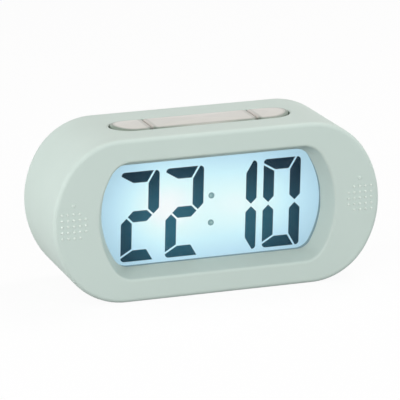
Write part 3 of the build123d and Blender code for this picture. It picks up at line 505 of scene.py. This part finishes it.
def key_shape(low, high, ends, grow, flange, top, edge, crown):
    """A key in its own frame (along, across, height): flange, straight wall, rolled edge and crowned top.

    The rolled edge is drawn in by edge * (1 - cos t) while it rises by edge * sin t, and the top is the
    same outline drawn in further and then together to its middle. Both are lifted by crown * (1 - s^2),
    where s is the distance from the middle line over the half width. Each point's value is how far its
    outline is drawn in, counted seam_share times towards a square end.
    """
    low, high = np.asarray(low, float), np.asarray(high, float)
    middle = (low + high) / 2
    half = (high[1] - low[1]) / 2
    left, right = ends
    grow_left, grow_right, grow_side = grow
    flange_low, flange_high = flange
    shoulder = top - crown - edge

    round_end = np.ones(2 * CORNER_POINTS)
    towards_seam = np.linspace(1, seam_share, CORNER_POINTS)
    square_end = np.concatenate([towards_seam, towards_seam[::-1]])
    count = np.concatenate([
        np.ones(SIDE_POINTS), round_end if right >= half else square_end,
        np.ones(SIDE_POINTS), round_end if left >= half else square_end,
    ])

    def ring(inset, height):
        outline = rounded_box(low, high, left, right, inset)
        return np.column_stack([outline, np.full(len(outline), height), count * inset])

    def flange_ring(inset, height):
        outline = rounded_box(low - (grow_left, grow_side), high + (grow_right, grow_side),
                              left + grow_left, right + grow_right, inset)
        return np.column_stack([outline, np.full(len(outline), height), np.zeros(len(outline))])

    root = root_share * ring(0, flange_high) + (1 - root_share) * flange_ring(0, flange_high)
    straight = [
        flange_ring(EASE, flange_low), flange_ring(0, flange_low), flange_ring(0, flange_high),
        root, ring(0, flange_high), ring(0, shoulder - EASE),
    ]
    turn = np.linspace(0, math.pi / 2, ARC_STEPS + 1)
    rounded = [ring(edge * (1 - math.cos(t)), shoulder + edge * math.sin(t)) for t in turn]
    rounded += [ring(edge + further, shoulder + edge) for further in top_insets]
    rim = rounded[-1]
    rounded += [
        np.column_stack([middle + share * (rim[:, :2] - middle), rim[:, 2:]]) for share in top_shares
    ]
    for lifted in rounded:
        lifted[:, 2] += crown * (1 - ((lifted[:, 1] - middle[1]) / half) ** 2)
    return capped(straight + rounded)


def cross_screw():
    """One screw as a turned profile with a cross sunk into its crown; its seat lies at y = 0.

    The crown falls by head_crown * s^2 from the middle to where it rolls over the rim; s is the distance
    from the middle over the distance there. The cross takes away cross_depth inside its two arms, whose
    walls slant.
    """
    def arm(along, across):
        inside = [
            np.clip((limit / 2 - np.abs(place)) / cross_slant + 0.5, 0, 1)
            for limit, place in ((cross_length, along), (cross_width, across))
        ]
        return inside[0] * inside[1]

    share = np.linspace(0, 1, CROWN_STEPS)
    turn = np.linspace(0, math.pi / 2, ARC_STEPS + 1)[1:]
    radius, shank = head_diameter / 2, shank_diameter / 2
    flat = radius - head_rim
    rim_height = head_height - head_crown
    profile = np.concatenate([
        np.column_stack([share * flat, head_height - head_crown * share ** 2]),
        np.column_stack([flat + head_rim * np.sin(turn), rim_height - head_rim * (1 - np.cos(turn))]),
        [(radius, 0), (shank, 0), (shank, -shank_length), (0, -shank_length)],
    ])
    angle = np.linspace(0, 2 * math.pi, SCREW_SIDES, endpoint=False)
    x, z = np.outer(profile[:, 0], np.cos(angle)), np.outer(profile[:, 0], np.sin(angle))
    y = np.repeat(profile[:, 1:], SCREW_SIDES, axis=1)
    y[:CROWN_STEPS] -= cross_depth * np.maximum(arm(x, z), arm(z, x))[:CROWN_STEPS]
    return np.stack([x, y, z], axis=-1).reshape(-1, 3), grid_faces(len(profile), SCREW_SIDES).reshape(-1, 4)


# Node helpers
def fill(tree, node, values):
    """Gives a node's inputs their values: a socket is linked and anything else is set."""
    for name, value in values.items():
        if isinstance(value, bpy.types.NodeSocket):
            tree.links.new(value, node.inputs[name])
        else:
            node.inputs[name].default_value = value


def add(tree, kind, values=None, **settings):
    """Adds a shader node; values fills its inputs and settings its properties."""
    made = tree.nodes.new("ShaderNode" + kind)
    for name, value in settings.items():
        setattr(made, name, value)
    fill(tree, made, values or {})
    return made


def maths(tree, operation, *values):
    """Result of a Math node on sockets or numbers."""
    return add(tree, "Math", dict(enumerate(values)), operation=operation).outputs[0]


def sum_of_squares(tree, first, second):
    """first^2 + second^2."""
    return maths(tree, "ADD", maths(tree, "MULTIPLY", first, first), maths(tree, "MULTIPLY", second, second))


def distance(tree, first, second):
    """sqrt(first^2 + second^2)."""
    return maths(tree, "SQRT", sum_of_squares(tree, first, second))


def mixed(tree, share, first, second):
    """Colour between two colours, which a Mix node takes on its inputs 6 and 7 and gives on its output 2."""
    return add(tree, "Mix", {"Factor": share, 6: first, 7: second}, data_type="RGBA").outputs[2]


def ranged(tree, value, source=(0.0, 1.0), target=(0.0, 1.0), smooth=False):
    """Value carried from the source range to the target range, straight or smoothly, held at the ends."""
    limits = dict(enumerate((value, *source, *target)))
    curve = "SMOOTHSTEP" if smooth else "LINEAR"
    return add(tree, "MapRange", limits, interpolation_type=curve).outputs[0]


def coloured(tree, value, stops):
    """Colour along a value, from stops (position, colour) in rising order."""
    ramp = add(tree, "ValToRGB", {"Fac": value})
    elements = ramp.color_ramp.elements
    for element, (position, colour) in zip(elements, (stops[0], stops[-1])):
        element.position = position
        element.color = colour
    for position, colour in stops[1:-1]:
        elements.new(position).color = colour
    return ramp.outputs[0]


def own_place(tree):
    """The piece's own coordinates in metres."""
    return add(tree, "TexCoord").outputs["Object"]


def own_axes(tree):
    """The piece's own coordinates in metres, taken apart into X, Y and Z."""
    return add(tree, "SeparateXYZ", {0: own_place(tree)}).outputs


def noise(tree, place, scale, detail):
    """Noise in 0 to 1 at a place."""
    return add(tree, "TexNoise", {"Vector": place, "Scale": scale, "Detail": detail}).outputs["Fac"]


def new_group(name, inputs, outputs):
    """Empty node group with named value sockets; returns its tree, its inputs and its output node."""
    tree = bpy.data.node_groups.new(name, "ShaderNodeTree")
    for label, value in inputs.items():
        socket = tree.interface.new_socket(label, in_out="INPUT", socket_type="NodeSocketFloat")
        socket.default_value = value
    for label in outputs:
        tree.interface.new_socket(label, in_out="OUTPUT", socket_type="NodeSocketFloat")
    return tree, tree.nodes.new("NodeGroupInput").outputs, tree.nodes.new("NodeGroupOutput")


def placed(tree, group, **values):
    """Puts a group into a material with its own values; returns its outputs."""
    node = tree.nodes.new("ShaderNodeGroup")
    node.node_tree = group
    fill(tree, node, values)
    return node.outputs


def moulded_grain_group():
    """Fine moulded grain and a slow mottle, both from noise on the piece's own coordinates in metres."""
    scales = {"grain_scale": 4000.0, "mottle_scale": 60.0}
    tree, given, result = new_group("moulded_grain", scales, ("grain", "mottle"))
    place = own_place(tree)
    fill(tree, result, {
        "grain": noise(tree, place, given["grain_scale"], detail=2.0),
        "mottle": noise(tree, place, given["mottle_scale"], detail=4.0),
    })
    return tree


def settled_dust_group():
    """Dust that lies on upward faces: the upward share of the normal times a speckled noise in patches."""
    tree, given, result = new_group("settled_dust", {"amount": 0.1}, ("dust",))
    place = own_place(tree)
    speckle = ranged(tree, noise(tree, place, scale=900.0, detail=3.0), source=(0.55, 0.75))
    patch = noise(tree, place, scale=45.0, detail=2.0)
    up = add(tree, "SeparateXYZ", {0: add(tree, "NewGeometry").outputs["Normal"]}).outputs["Z"]
    cover = maths(tree, "MULTIPLY", maths(tree, "MAXIMUM", up, 0.0), maths(tree, "MULTIPLY", speckle, patch))
    fill(tree, result, {"dust": maths(tree, "MULTIPLY", cover, given["amount"])})
    return tree


def backlight_group():
    """Glow of the two lamps behind the display, which can be let down by drop, in metres.

    Each lamp gives a bell strength * exp(-(d / spread)^2), and the two are joined as a + b - a * b.
    """
    tree, given, result = new_group("backlight", {"drop": 0.0}, ("glow",))
    place = own_axes(tree)
    level = maths(tree, "ADD", place["Z"], given["drop"])
    bells = []
    for x, z, spread_x, spread_z, strength in display_lamps:
        right = maths(tree, "MULTIPLY", maths(tree, "SUBTRACT", place["X"], x * MM), 1 / (spread_x * MM))
        height = maths(tree, "SUBTRACT", level, (half_height + z) * MM)
        rise = maths(tree, "MULTIPLY", height, 1 / (spread_z * MM))
        fall = maths(tree, "MULTIPLY", sum_of_squares(tree, right, rise), -1.0)
        bells.append(maths(tree, "MULTIPLY", maths(tree, "POWER", math.e, fall), strength))
    both = maths(tree, "SUBTRACT", maths(tree, "ADD", *bells), maths(tree, "MULTIPLY", *bells))
    fill(tree, result, {"glow": both})
    return tree


def past_window_group():
    """How far a point lies outside the display window, in metres, seen from the front.

    Inside the sector of a corner arc it is the distance from the arc's middle over its radius, and elsewhere
    the larger of the height over the straight sides and the distance from the middle of an end arc over its
    radius.
    """
    tree, _, result = new_group("past_window", {}, ("outside",))
    turn, corner, corner_x, end, end_x = barrel_arcs(
        window_half_length, window_half_height, window_offset, window_angle)
    place = own_axes(tree)
    x = maths(tree, "ABSOLUTE", place["X"])
    z = maths(tree, "ABSOLUTE", maths(tree, "SUBTRACT", place["Z"], half_height * MM))
    along = maths(tree, "MAXIMUM", maths(tree, "SUBTRACT", x, end_x * MM), 0.0)
    past_end = maths(tree, "SUBTRACT", distance(tree, along, z), end * MM)
    past_side = maths(tree, "SUBTRACT", z, window_half_height * MM)
    plain = maths(tree, "MAXIMUM", past_end, past_side)
    right = maths(tree, "SUBTRACT", x, corner_x * MM)
    rise = maths(tree, "SUBTRACT", z, window_offset * MM)
    past_corner = maths(tree, "SUBTRACT", distance(tree, right, rise), corner * MM)
    steep = maths(tree, "GREATER_THAN", rise, maths(tree, "MULTIPLY", right, math.tan(turn)))
    sector = maths(tree, "MULTIPLY", steep, maths(tree, "GREATER_THAN", right, 0.0))
    extra = maths(tree, "MULTIPLY", sector, maths(tree, "SUBTRACT", past_corner, plain))
    fill(tree, result, {"outside": maths(tree, "ADD", plain, extra)})
    return tree


grain_group = moulded_grain_group()
dust_group = settled_dust_group()
glow_group = backlight_group()
window_group = past_window_group()


def linear(red, green, blue):
    """Linear colour of an sRGB colour given in 0 to 255."""
    share = np.array([red, green, blue]) / 255
    value = np.where(share <= 0.04045, share / 12.92, ((share + 0.055) / 1.055) ** 2.4)
    return (*value.tolist(), 1.0)


def dimmed(colour, share):
    """A colour with each channel brought down to a share."""
    return (*(channel * share for channel in colour[:3]), 1.0)


def new_material(name):
    """Empty material; returns it, its tree and its Principled shader, already on the output."""
    material = bpy.data.materials.new(name)
    material.use_nodes = True
    tree = material.node_tree
    tree.nodes.clear()
    shader = add(tree, "BsdfPrincipled")
    add(tree, "OutputMaterial", {"Surface": shader.outputs[0]})
    return material, tree, shader


def grained(tree, grain, depth):
    """Normal of a surface with a grain of a depth in millimetres."""
    return add(tree, "Bump", {"Height": grain, "Strength": 1.0, "Distance": depth * MM}).outputs[0]


def dusty(tree, colour, amount):
    """Colour under a little settled dust."""
    dust_colour = (0.8, 0.8, 0.78, 1.0)
    return mixed(tree, placed(tree, dust_group, amount=amount)["dust"], colour, dust_colour)


def moulded(name, base, shade, roughness, grain_depth, grain=4000.0, mottle=60.0):
    """Moulded plastic or rubber: mottled colour, grained surface and roughness that follows the mottle."""
    material, tree, shader = new_material(name)
    surface = placed(tree, grain_group, grain_scale=grain, mottle_scale=mottle)
    spread = 0.05
    fill(tree, shader, {
        "Base Color": mixed(tree, surface["mottle"], base, shade),
        "Roughness": ranged(tree, surface["mottle"], target=(roughness - spread, roughness + spread)),
    })
    if grain_depth:
        fill(tree, shader, {"Normal": grained(tree, surface["grain"], grain_depth)})
    return material


def clear_sheet(name, tint, bordered=False):
    """Thin clear film or pane that barely tints what lies behind it.

    A bordered pane has an opaque grey-blue border, which starts border_reach outside the display window; its
    glow is painted light.
    """
    material, tree, shader = new_material(name)
    thin_cover = (0.016, 0.024)
    border_blue = linear(122, 148, 155)
    surface = placed(tree, grain_group, grain_scale=300.0, mottle_scale=30.0)
    cover = ranged(tree, surface["grain"], target=thin_cover)
    if bordered:
        # Painted light: the border glows an even grey-blue of its own, though no lamp lights it
        outside = placed(tree, window_group)["outside"]
        border = ranged(tree, outside, source=(border_reach * MM, (border_reach + border_fade) * MM))
        cover = maths(tree, "MAXIMUM", cover, border)
        border_glow = mixed(tree, border, (0, 0, 0, 1), border_blue)
        fill(tree, shader, {"Emission Color": border_glow, "Emission Strength": 1.0})
    fill(tree, shader, {
        "Base Color": mixed(tree, surface["mottle"], tint, dimmed(tint, share=0.7)),
        "Alpha": cover,
        "Specular IOR Level": 0.0,
    })
    return material


def clear_lens():
    """Polished clear lens with a trace of haze."""
    material, tree, shader = new_material("polished_lens")
    mottle = placed(tree, grain_group, grain_scale=400.0, mottle_scale=40.0)["mottle"]
    fill(tree, shader, {
        "Base Color": mixed(tree, mottle, (0.97, 0.985, 0.99, 1), (1, 1, 1, 1)),
        "Roughness": ranged(tree, mottle, target=(0.01, 0.03)),
        "Transmission Weight": 1.0,
        "IOR": 1.1,
    })
    return material


def lit_display():
    """Lit field of the display: pale blue at its edges, white with a trace of green over the lamps.

    Its painted shadow, dark grey-blue, starts edge_shadow_reach outside the window; along the top, where the
    shadow of the frame is painted, it starts frame_shadow_depth inside.
    """
    mottle_share = 0.04
    shadow_blue = linear(112, 138, 148)
    material, tree, shader = new_material("lit_display")
    mottle = placed(tree, grain_group, mottle_scale=90.0)["mottle"]
    lit = coloured(tree, placed(tree, glow_group)["glow"], (
        (0.0, linear(164, 201, 219)),
        (0.3, linear(190, 229, 245)),
        (0.55, linear(209, 247, 255)),
        (0.8, linear(228, 255, 255)),
        (1.0, linear(251, 255, 255)),
    ))
    field = mixed(tree, maths(tree, "MULTIPLY", mottle, mottle_share), lit, (1, 1, 1, 1))
    # Painted shadow: the field turns dark grey-blue just outside the window, and inside its top under the
    # frame
    outside = placed(tree, window_group)["outside"]
    edge_shadow = ranged(tree, outside, source=(edge_shadow_reach * MM, (edge_shadow_reach + edge_shadow_fade) * MM))
    frame_shadow_start = (half_height + window_half_height - frame_shadow_depth) * MM
    above = maths(tree, "SUBTRACT", own_axes(tree)["Z"], frame_shadow_start)
    upper = ranged(tree, above, source=(0.0, frame_shadow_fade * MM))
    fill(tree, shader, {
        "Emission Color": mixed(tree, maths(tree, "MAXIMUM", edge_shadow, upper), field, shadow_blue),
        "Emission Strength": 1.0,
        "Base Color": (0.02, 0.03, 0.04, 1),
        "Specular IOR Level": 0.0,
    })
    return material


def dark_segments():
    """Dark liquid crystal, petrol blue where a lamp shines through; the colon is faint with a pale core."""
    mottle_share = 0.1
    darkest = linear(15, 36, 50)
    material, tree, shader = new_material("dark_segments")
    glow = placed(tree, glow_group, drop=segment_drop * MM)["glow"]
    mottle = placed(tree, grain_group, mottle_scale=120.0)["mottle"]
    crystal = coloured(tree, glow, ((0.1, darkest), (1.0, linear(46, 100, 118))))
    place = own_axes(tree)
    right = maths(tree, "SUBTRACT", place["X"], colon_x * MM)
    rise = maths(tree, "SUBTRACT", place["Z"], (half_height - colon_drop) * MM)
    fold = maths(tree, "SUBTRACT", maths(tree, "ABSOLUTE", rise), colon_rise * MM)
    radii = maths(tree, "MULTIPLY", distance(tree, right, fold), 1 / (colon_radius * MM))
    dot = coloured(tree, radii, ((0.0, linear(176, 206, 204)), (0.6, linear(128, 165, 168))))
    colour = mixed(tree, maths(tree, "LESS_THAN", radii, colon_reach), crystal, dot)
    fill(tree, shader, {
        "Emission Color": mixed(tree, maths(tree, "MULTIPLY", mottle, mottle_share), colour, darkest),
        "Emission Strength": 1.0,
        "Base Color": (0.01, 0.015, 0.02, 1),
        "Specular IOR Level": 0.0,
    })
    return material


def milky_key():
    """Translucent key, pale on top, with painted shade over its rolled edge, in its well and at the seams.

    The rolled edge is read from the attribute inside; over it the key turns grey, then green-grey in its
    well:
    painted shade of the well seen through clear plastic. A seam is a band round the two places where keys
    meet, painted in a tan shade that darkens to green at its foot, towards the front edge of the strip.
    Towards the middle of the strip, painted light turns the green-grey of the edge towards grey.
    """
    # Colours of painted shade: the shaded well, the rolled edge, the seams and their foot
    well_shade_green = linear(126, 140, 127)
    edge_shade_grey = linear(186, 187, 179)
    seam_shade_tan = linear(194, 190, 182)
    foot_shade_green = linear(92, 106, 94)
    material, tree, shader = new_material("milky_key")
    mottle = placed(tree, grain_group, grain_scale=1500.0, mottle_scale=70.0)["mottle"]
    rim = add(tree, "Attribute", attribute_name="inside").outputs["Fac"]
    place = own_axes(tree)
    from_middle = maths(tree, "ABSOLUTE", place["X"])
    # Painted light: towards the middle of the strip the edge turns from green-grey towards grey
    clear = ranged(tree, from_middle, source=(middle_light_start * MM, middle_light_end * MM), target=(middle_light_share, 0.0))
    well = mixed(tree, clear, well_shade_green, edge_shade_grey)
    pale = mixed(tree, mottle, linear(227, 225, 218), linear(221, 220, 213))
    # Painted shade over the rolled edge: green-grey of the shaded well, then grey, then the pale top
    edge_shade = ranged(tree, rim, source=(rim_dark, rim_grey), smooth=True)
    on_top = ranged(tree, rim, source=(rim_grey, rim_pale), smooth=True)
    colour = mixed(tree, on_top, mixed(tree, edge_shade, well, edge_shade_grey), pale)
    # Painted shade at the seams: a tan band round each seam, darkening to green at its foot towards the
    # front
    from_seam = maths(tree, "ABSOLUTE", maths(tree, "SUBTRACT", from_middle, seam_x * MM))
    seam = ranged(tree, from_seam, (seam_shade_band * MM, seam_shade_fade * MM), (1.0, 0.0), smooth=True)
    front = strip_y - strip_half_depth
    foot_range = ((front + foot_shade_start) * MM, (front + foot_shade_end) * MM)
    foot = ranged(tree, place["Y"], foot_range, (1.0, 0.0), smooth=True)
    colour = mixed(tree, seam, colour, mixed(tree, foot, seam_shade_tan, foot_shade_green))
    fill(tree, shader, {
        "Base Color": dusty(tree, colour, amount=0.1),
        "Roughness": ranged(tree, mottle, target=(0.25, 0.35)),
        "Subsurface Weight": 0.5,
        "Subsurface Radius": (1.0, 1.0, 1.0),
        "Subsurface Scale": 1.2 * MM,
    })
    return material


def soft_silicone():
    """Matt silicone with fine grain and a little dust; nub tips are smoother and paler, a painted highlight.
    """
    highlight_sage = linear(226, 237, 230)
    highlight_heights = (0.1, 0.7)
    polish = 0.25
    material, tree, shader = new_material("sage_silicone")
    surface = placed(tree, grain_group)
    sage = mixed(tree, surface["mottle"], linear(206, 221, 214), linear(202, 217, 210))
    tip = add(tree, "Attribute", attribute_name="inside").outputs["Fac"]
    # Painted highlight: nub tips turn paler towards their top, and the same mask makes them smoother
    highlight_and_polish = ranged(tree, tip, source=highlight_heights)
    matt = ranged(tree, surface["mottle"], target=(0.57, 0.67))
    fill(tree, shader, {
        "Base Color": mixed(tree, highlight_and_polish, dusty(tree, sage, amount=0.15), highlight_sage),
        "Roughness": maths(tree, "SUBTRACT", matt, maths(tree, "MULTIPLY", highlight_and_polish, polish)),
        "Normal": grained(tree, surface["grain"], depth=0.006),
    })
    return material


def metal(name, base, roughness, streak):
    """Plated metal with fine upright streaks in its roughness and colour."""
    smoother, rougher = 0.08, 0.12
    material, tree, shader = new_material(name)
    stretched = add(tree, "Mapping", {"Vector": own_place(tree), "Scale": (1.0, 1.0, 0.1)}).outputs[0]
    lines = noise(tree, stretched, streak, detail=3.0)
    fill(tree, shader, {
        "Base Color": mixed(tree, lines, base, dimmed(base, share=0.75)),
        "Roughness": ranged(tree, lines, target=(roughness - smoother, roughness + rougher)),
        "Metallic": 1.0,
    })
    return material


# Finishes by slot; the numbers are the roughness, then the grain's depth or the scale of a metal's streaks
pane_tint = (0.02, 0.03, 0.04, 1)
finishes = {
    "sleeve_silicone": soft_silicone(),
    "case_plastic": moulded(
        "sage_case", linear(196, 208, 199), linear(190, 203, 194), 0.5, 0.02, grain=2500.0),
    "clear_plastic": clear_lens(),
    "display_glass": clear_sheet("thin_pane", pane_tint),
    "display_film": clear_sheet("thin_film", (0.03, 0.04, 0.05, 1)),
    "segment_dark": dark_segments(),
    "light_white": moulded("white_reflector", (0.85, 0.87, 0.87, 1), (0.78, 0.8, 0.8, 1), 0.6, 0.01),
    "lamp": moulded("lamp_resin", (0.9, 0.9, 0.8, 1), (0.85, 0.85, 0.7, 1), 0.3, 0.0),
    "strip_rubber": moulded(
        "striped_rubber", (0.3, 0.16, 0.16, 1), (0.15, 0.1, 0.1, 1), 0.7, 0.01, mottle=900.0),
    "board": moulded("solder_mask", (0.015, 0.16, 0.06, 1), (0.01, 0.11, 0.04, 1), 0.35, 0.01, mottle=400.0),
    "black_plastic": moulded("black_plastic", (0.02, 0.02, 0.022, 1), (0.03, 0.03, 0.032, 1), 0.5, 0.01),
    "bright_metal": metal("bright_plating", (0.75, 0.74, 0.71, 1), 0.25, 1500.0),
    "key_clear": milky_key(),
    "rear_key_plastic": moulded("setting_key", linear(178, 192, 183), linear(172, 187, 178), 0.45, 0.015),
    "ribbon_grey": moulded("ribbon", (0.5, 0.52, 0.55, 1), (0.42, 0.44, 0.47, 1), 0.4, 0.01, mottle=800.0),
    "lead_red": moulded("red_wire", (0.45, 0.03, 0.03, 1), (0.36, 0.02, 0.02, 1), 0.45, 0.005),
    "lead_black": moulded("black_wire", (0.02, 0.02, 0.02, 1), (0.035, 0.035, 0.035, 1), 0.45, 0.005),
    "cell_can": metal("plain_cell", (0.55, 0.57, 0.6, 1), 0.35, 900.0),
    "screw_steel": metal("plated_screw", (0.62, 0.62, 0.6, 1), 0.3, 1800.0),
}
finish_of = {part["node"]: finishes[part["material_slot"]] for part in frame["record"]["subparts"]}
finish_of["lcd_rear_glass"] = lit_display()
finish_of["lcd_front_glass"] = clear_sheet("bordered_pane", pane_tint, bordered=True)
for node_name, node in frame["nodes"].items():
    node.data.materials.clear()
    node.data.materials.append(finish_of[node_name])


def dress(name, shape, slot, body, *nodes):
    """Puts a new piece on a body, with the slot of its finish and the nodes that it stands for.

    A fourth column of the points holds their values.
    """
    points, faces = shape
    values = points[:, 3] if points.shape[1] > 3 else None
    piece = put_mesh(name, points[:, :3], faces, finishes[slot], values)
    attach(piece, body)
    if nodes:
        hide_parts(*nodes)


# Sleeve and nubs
dress("soft_sleeve", sleeve_mesh(), "sleeve_silicone", "clock_body", "silicone_sleeve")
dress("left_nubs", nub_cluster(-1), "sleeve_silicone", "clock_body")
dress("right_nubs", nub_cluster(1), "sleeve_silicone", "clock_body")

# Keys on top, which reach a little into the gap round the strip and into the seams between them
for key_name in ("left_key", "snooze_bar", "right_key"):
    low, high = box_of(key_name)
    left_end, right_end = key_name == "left_key", key_name == "right_key"
    round_end = strip_half_depth - key_gap + key_reach
    grow_left, grow_right = flange_grow * left_end, flange_grow * right_end
    grow_side = flange_grow - key_reach
    wall_low = (low[0] + (grow_left or -seam_reach), low[1] + grow_side)
    wall_high = (high[0] - (grow_right or -seam_reach), high[1] - grow_side)
    key = key_shape(
        wall_low, wall_high,
        (round_end if left_end else key_corner, round_end if right_end else key_corner),
        (grow_left, grow_right, grow_side),
        (top_flange_z - flange_thickness, top_flange_z), high[2], key_edge, key_crown,
    )
    plunger_low, plunger_high = box_of(key_name.split("_")[0] + "_plunger")
    stem_place = (plunger_low[:2] + plunger_high[:2]) / 2
    stem = stem_shape(stem_place, low[2], top_flange_z - flange_thickness + stem_root)
    dress("top_" + key_name, joined(key, stem), "key_clear", key_name, key_name)

# Setting keys on the back, worked out lying down and turned up to face the back
for key_name in ("time_key", "alarm_key", "minus_key", "plus_key"):
    low, high = (corner[[0, 2, 1]] for corner in box_of(key_name))
    half = (high[1] - low[1]) / 2 - rear_flange_grow
    rear_flange_low = rear_flange_y - flange_thickness
    key = key_shape(
        low[:2] + rear_flange_grow, high[:2] - rear_flange_grow, (half, half), (rear_flange_grow,) * 3,
        (rear_flange_low, rear_flange_y), high[2], rear_key_edge, rear_key_crown,
    )
    stem = stem_shape((low[:2] + high[:2]) / 2, low[2], rear_flange_low + stem_root)
    points, faces = joined(key, stem)
    dress("back_" + key_name, (points[:, [0, 2, 1, 3]], faces), "rear_key_plastic", key_name, key_name)

# Case screws
_, high = box_of("case_screws")
screw_x, screw_rise = high[0] - head_diameter / 2, high[2] - half_height - head_diameter / 2
seat_y = high[1] - head_height
screw_places = [(x, seat_y, half_height + z) for x in (-screw_x, screw_x) for z in (-screw_rise, screw_rise)]
dress("rear_screws", repeated(*cross_screw(), screw_places), "screw_steel", "clock_body", "case_screws")

# Stage: a pale floor, sized in metres, and a white surround, which show as white and keep the shadow
floor_size = 6.0
floor_white = 0.93
floor_seen = 1.0
floor_bounce = 0.25
floor_mottle = 0.02
surround_light = 0.27


def white_share(tree):
    """1 for what the camera sees, directly, in a reflection or through glass, and 0 for light that falls."""
    path = add(tree, "LightPath").outputs
    seen = maths(tree, "MAXIMUM", path["Is Camera Ray"], path["Is Glossy Ray"])
    return maths(tree, "MAXIMUM", seen, path["Is Transmission Ray"])


def pale_floor():
    """Floor that is mostly white to the eye and keeps a share of its lit colour, so its shadow stays."""
    material, tree, shader = new_material("pale_floor")
    mottle = placed(tree, grain_group, mottle_scale=3.0)["mottle"]
    seen = white_share(tree)
    level = ranged(tree, seen, target=(floor_bounce, floor_seen))
    dull = maths(tree, "SUBTRACT", level, maths(tree, "MULTIPLY", mottle, floor_mottle))
    fill(tree, shader, {
        "Base Color": mixed(tree, mottle, level, dull),
        "Roughness": 0.9,
        "Specular IOR Level": 0.0,
    })
    glow = add(tree, "Emission", {"Strength": 1.0})
    share = maths(tree, "MULTIPLY", seen, floor_white)
    blend = add(tree, "MixShader", {0: share, 1: shader.outputs[0], 2: glow.outputs[0]})
    fill(tree, tree.nodes["Material Output"], {"Surface": blend.outputs[0]})
    return material


floor_edge = floor_size / 2 / MM
floor_corners = [(x * floor_edge, y * floor_edge, 0) for x, y in ((-1, -1), (1, -1), (1, 1), (-1, 1))]
floor = put_mesh("floor", floor_corners, [(0, 1, 2, 3)], pale_floor())

world = bpy.data.worlds.new("surround")
bpy.context.scene.world = world
world.use_nodes = True
sky = world.node_tree
sky_level = ranged(sky, white_share(sky), target=(surround_light, 1.0))
fill(sky, sky.nodes["Background"], {"Strength": sky_level, "Color": (1, 1, 1, 1)})

# Lamps: place in metres, power and colour; all have one size and aim at the clock
lamp_size = 0.5
lamp_aim = (0, 0, 0.03)
studio = {
    "left_softbox": ((-0.6, -0.5, 0.13), 4.3, (1.0, 1.0, 1.0)),
    "side_softbox": ((-0.9, 0.1, 0.4), 3.1, (1.0, 1.0, 1.0)),
    "right_softbox": ((0.75, -0.75, 0.28), 5.3, (0.97, 1.0, 1.0)),
    "top_softbox": ((0.5, 0.2, 0.9), 4.15, (1.0, 0.92, 0.91)),
}
for lamp_name, (place, power, colour) in studio.items():
    lamp = bpy.data.lights.new(lamp_name, "AREA")
    lamp.size = lamp_size
    lamp.energy = power
    lamp.color = colour
    holder = bpy.data.objects.new(lamp_name, lamp)
    holder.location = place
    holder.rotation_mode = "QUATERNION"
    holder.rotation_quaternion = Vector(np.subtract(lamp_aim, place)).to_track_quat("-Z", "Y")
    bpy.context.scene.collection.objects.link(holder)

# Camera, fitted to the outline of the clock: where it stands, and its right and up directions
camera_eye = (-0.341819, -1.118325, 0.336338)
camera_right = (0.954413, -0.297669, -0.022252)
camera_up = (0.095525, 0.233938, 0.967552)
camera_lens = 270.0
camera = bpy.data.objects.new("camera", bpy.data.cameras.new("camera"))
camera.data.lens = camera_lens
camera_back = np.cross(camera_right, camera_up)
camera.matrix_world = Matrix.Translation(camera_eye) @ Matrix(
    np.column_stack([camera_right, camera_up, camera_back]).tolist()
).to_4x4()
bpy.context.scene.collection.objects.link(camera)
bpy.context.scene.camera = camera
bpy.context.scene.view_settings.view_transform = "Standard"
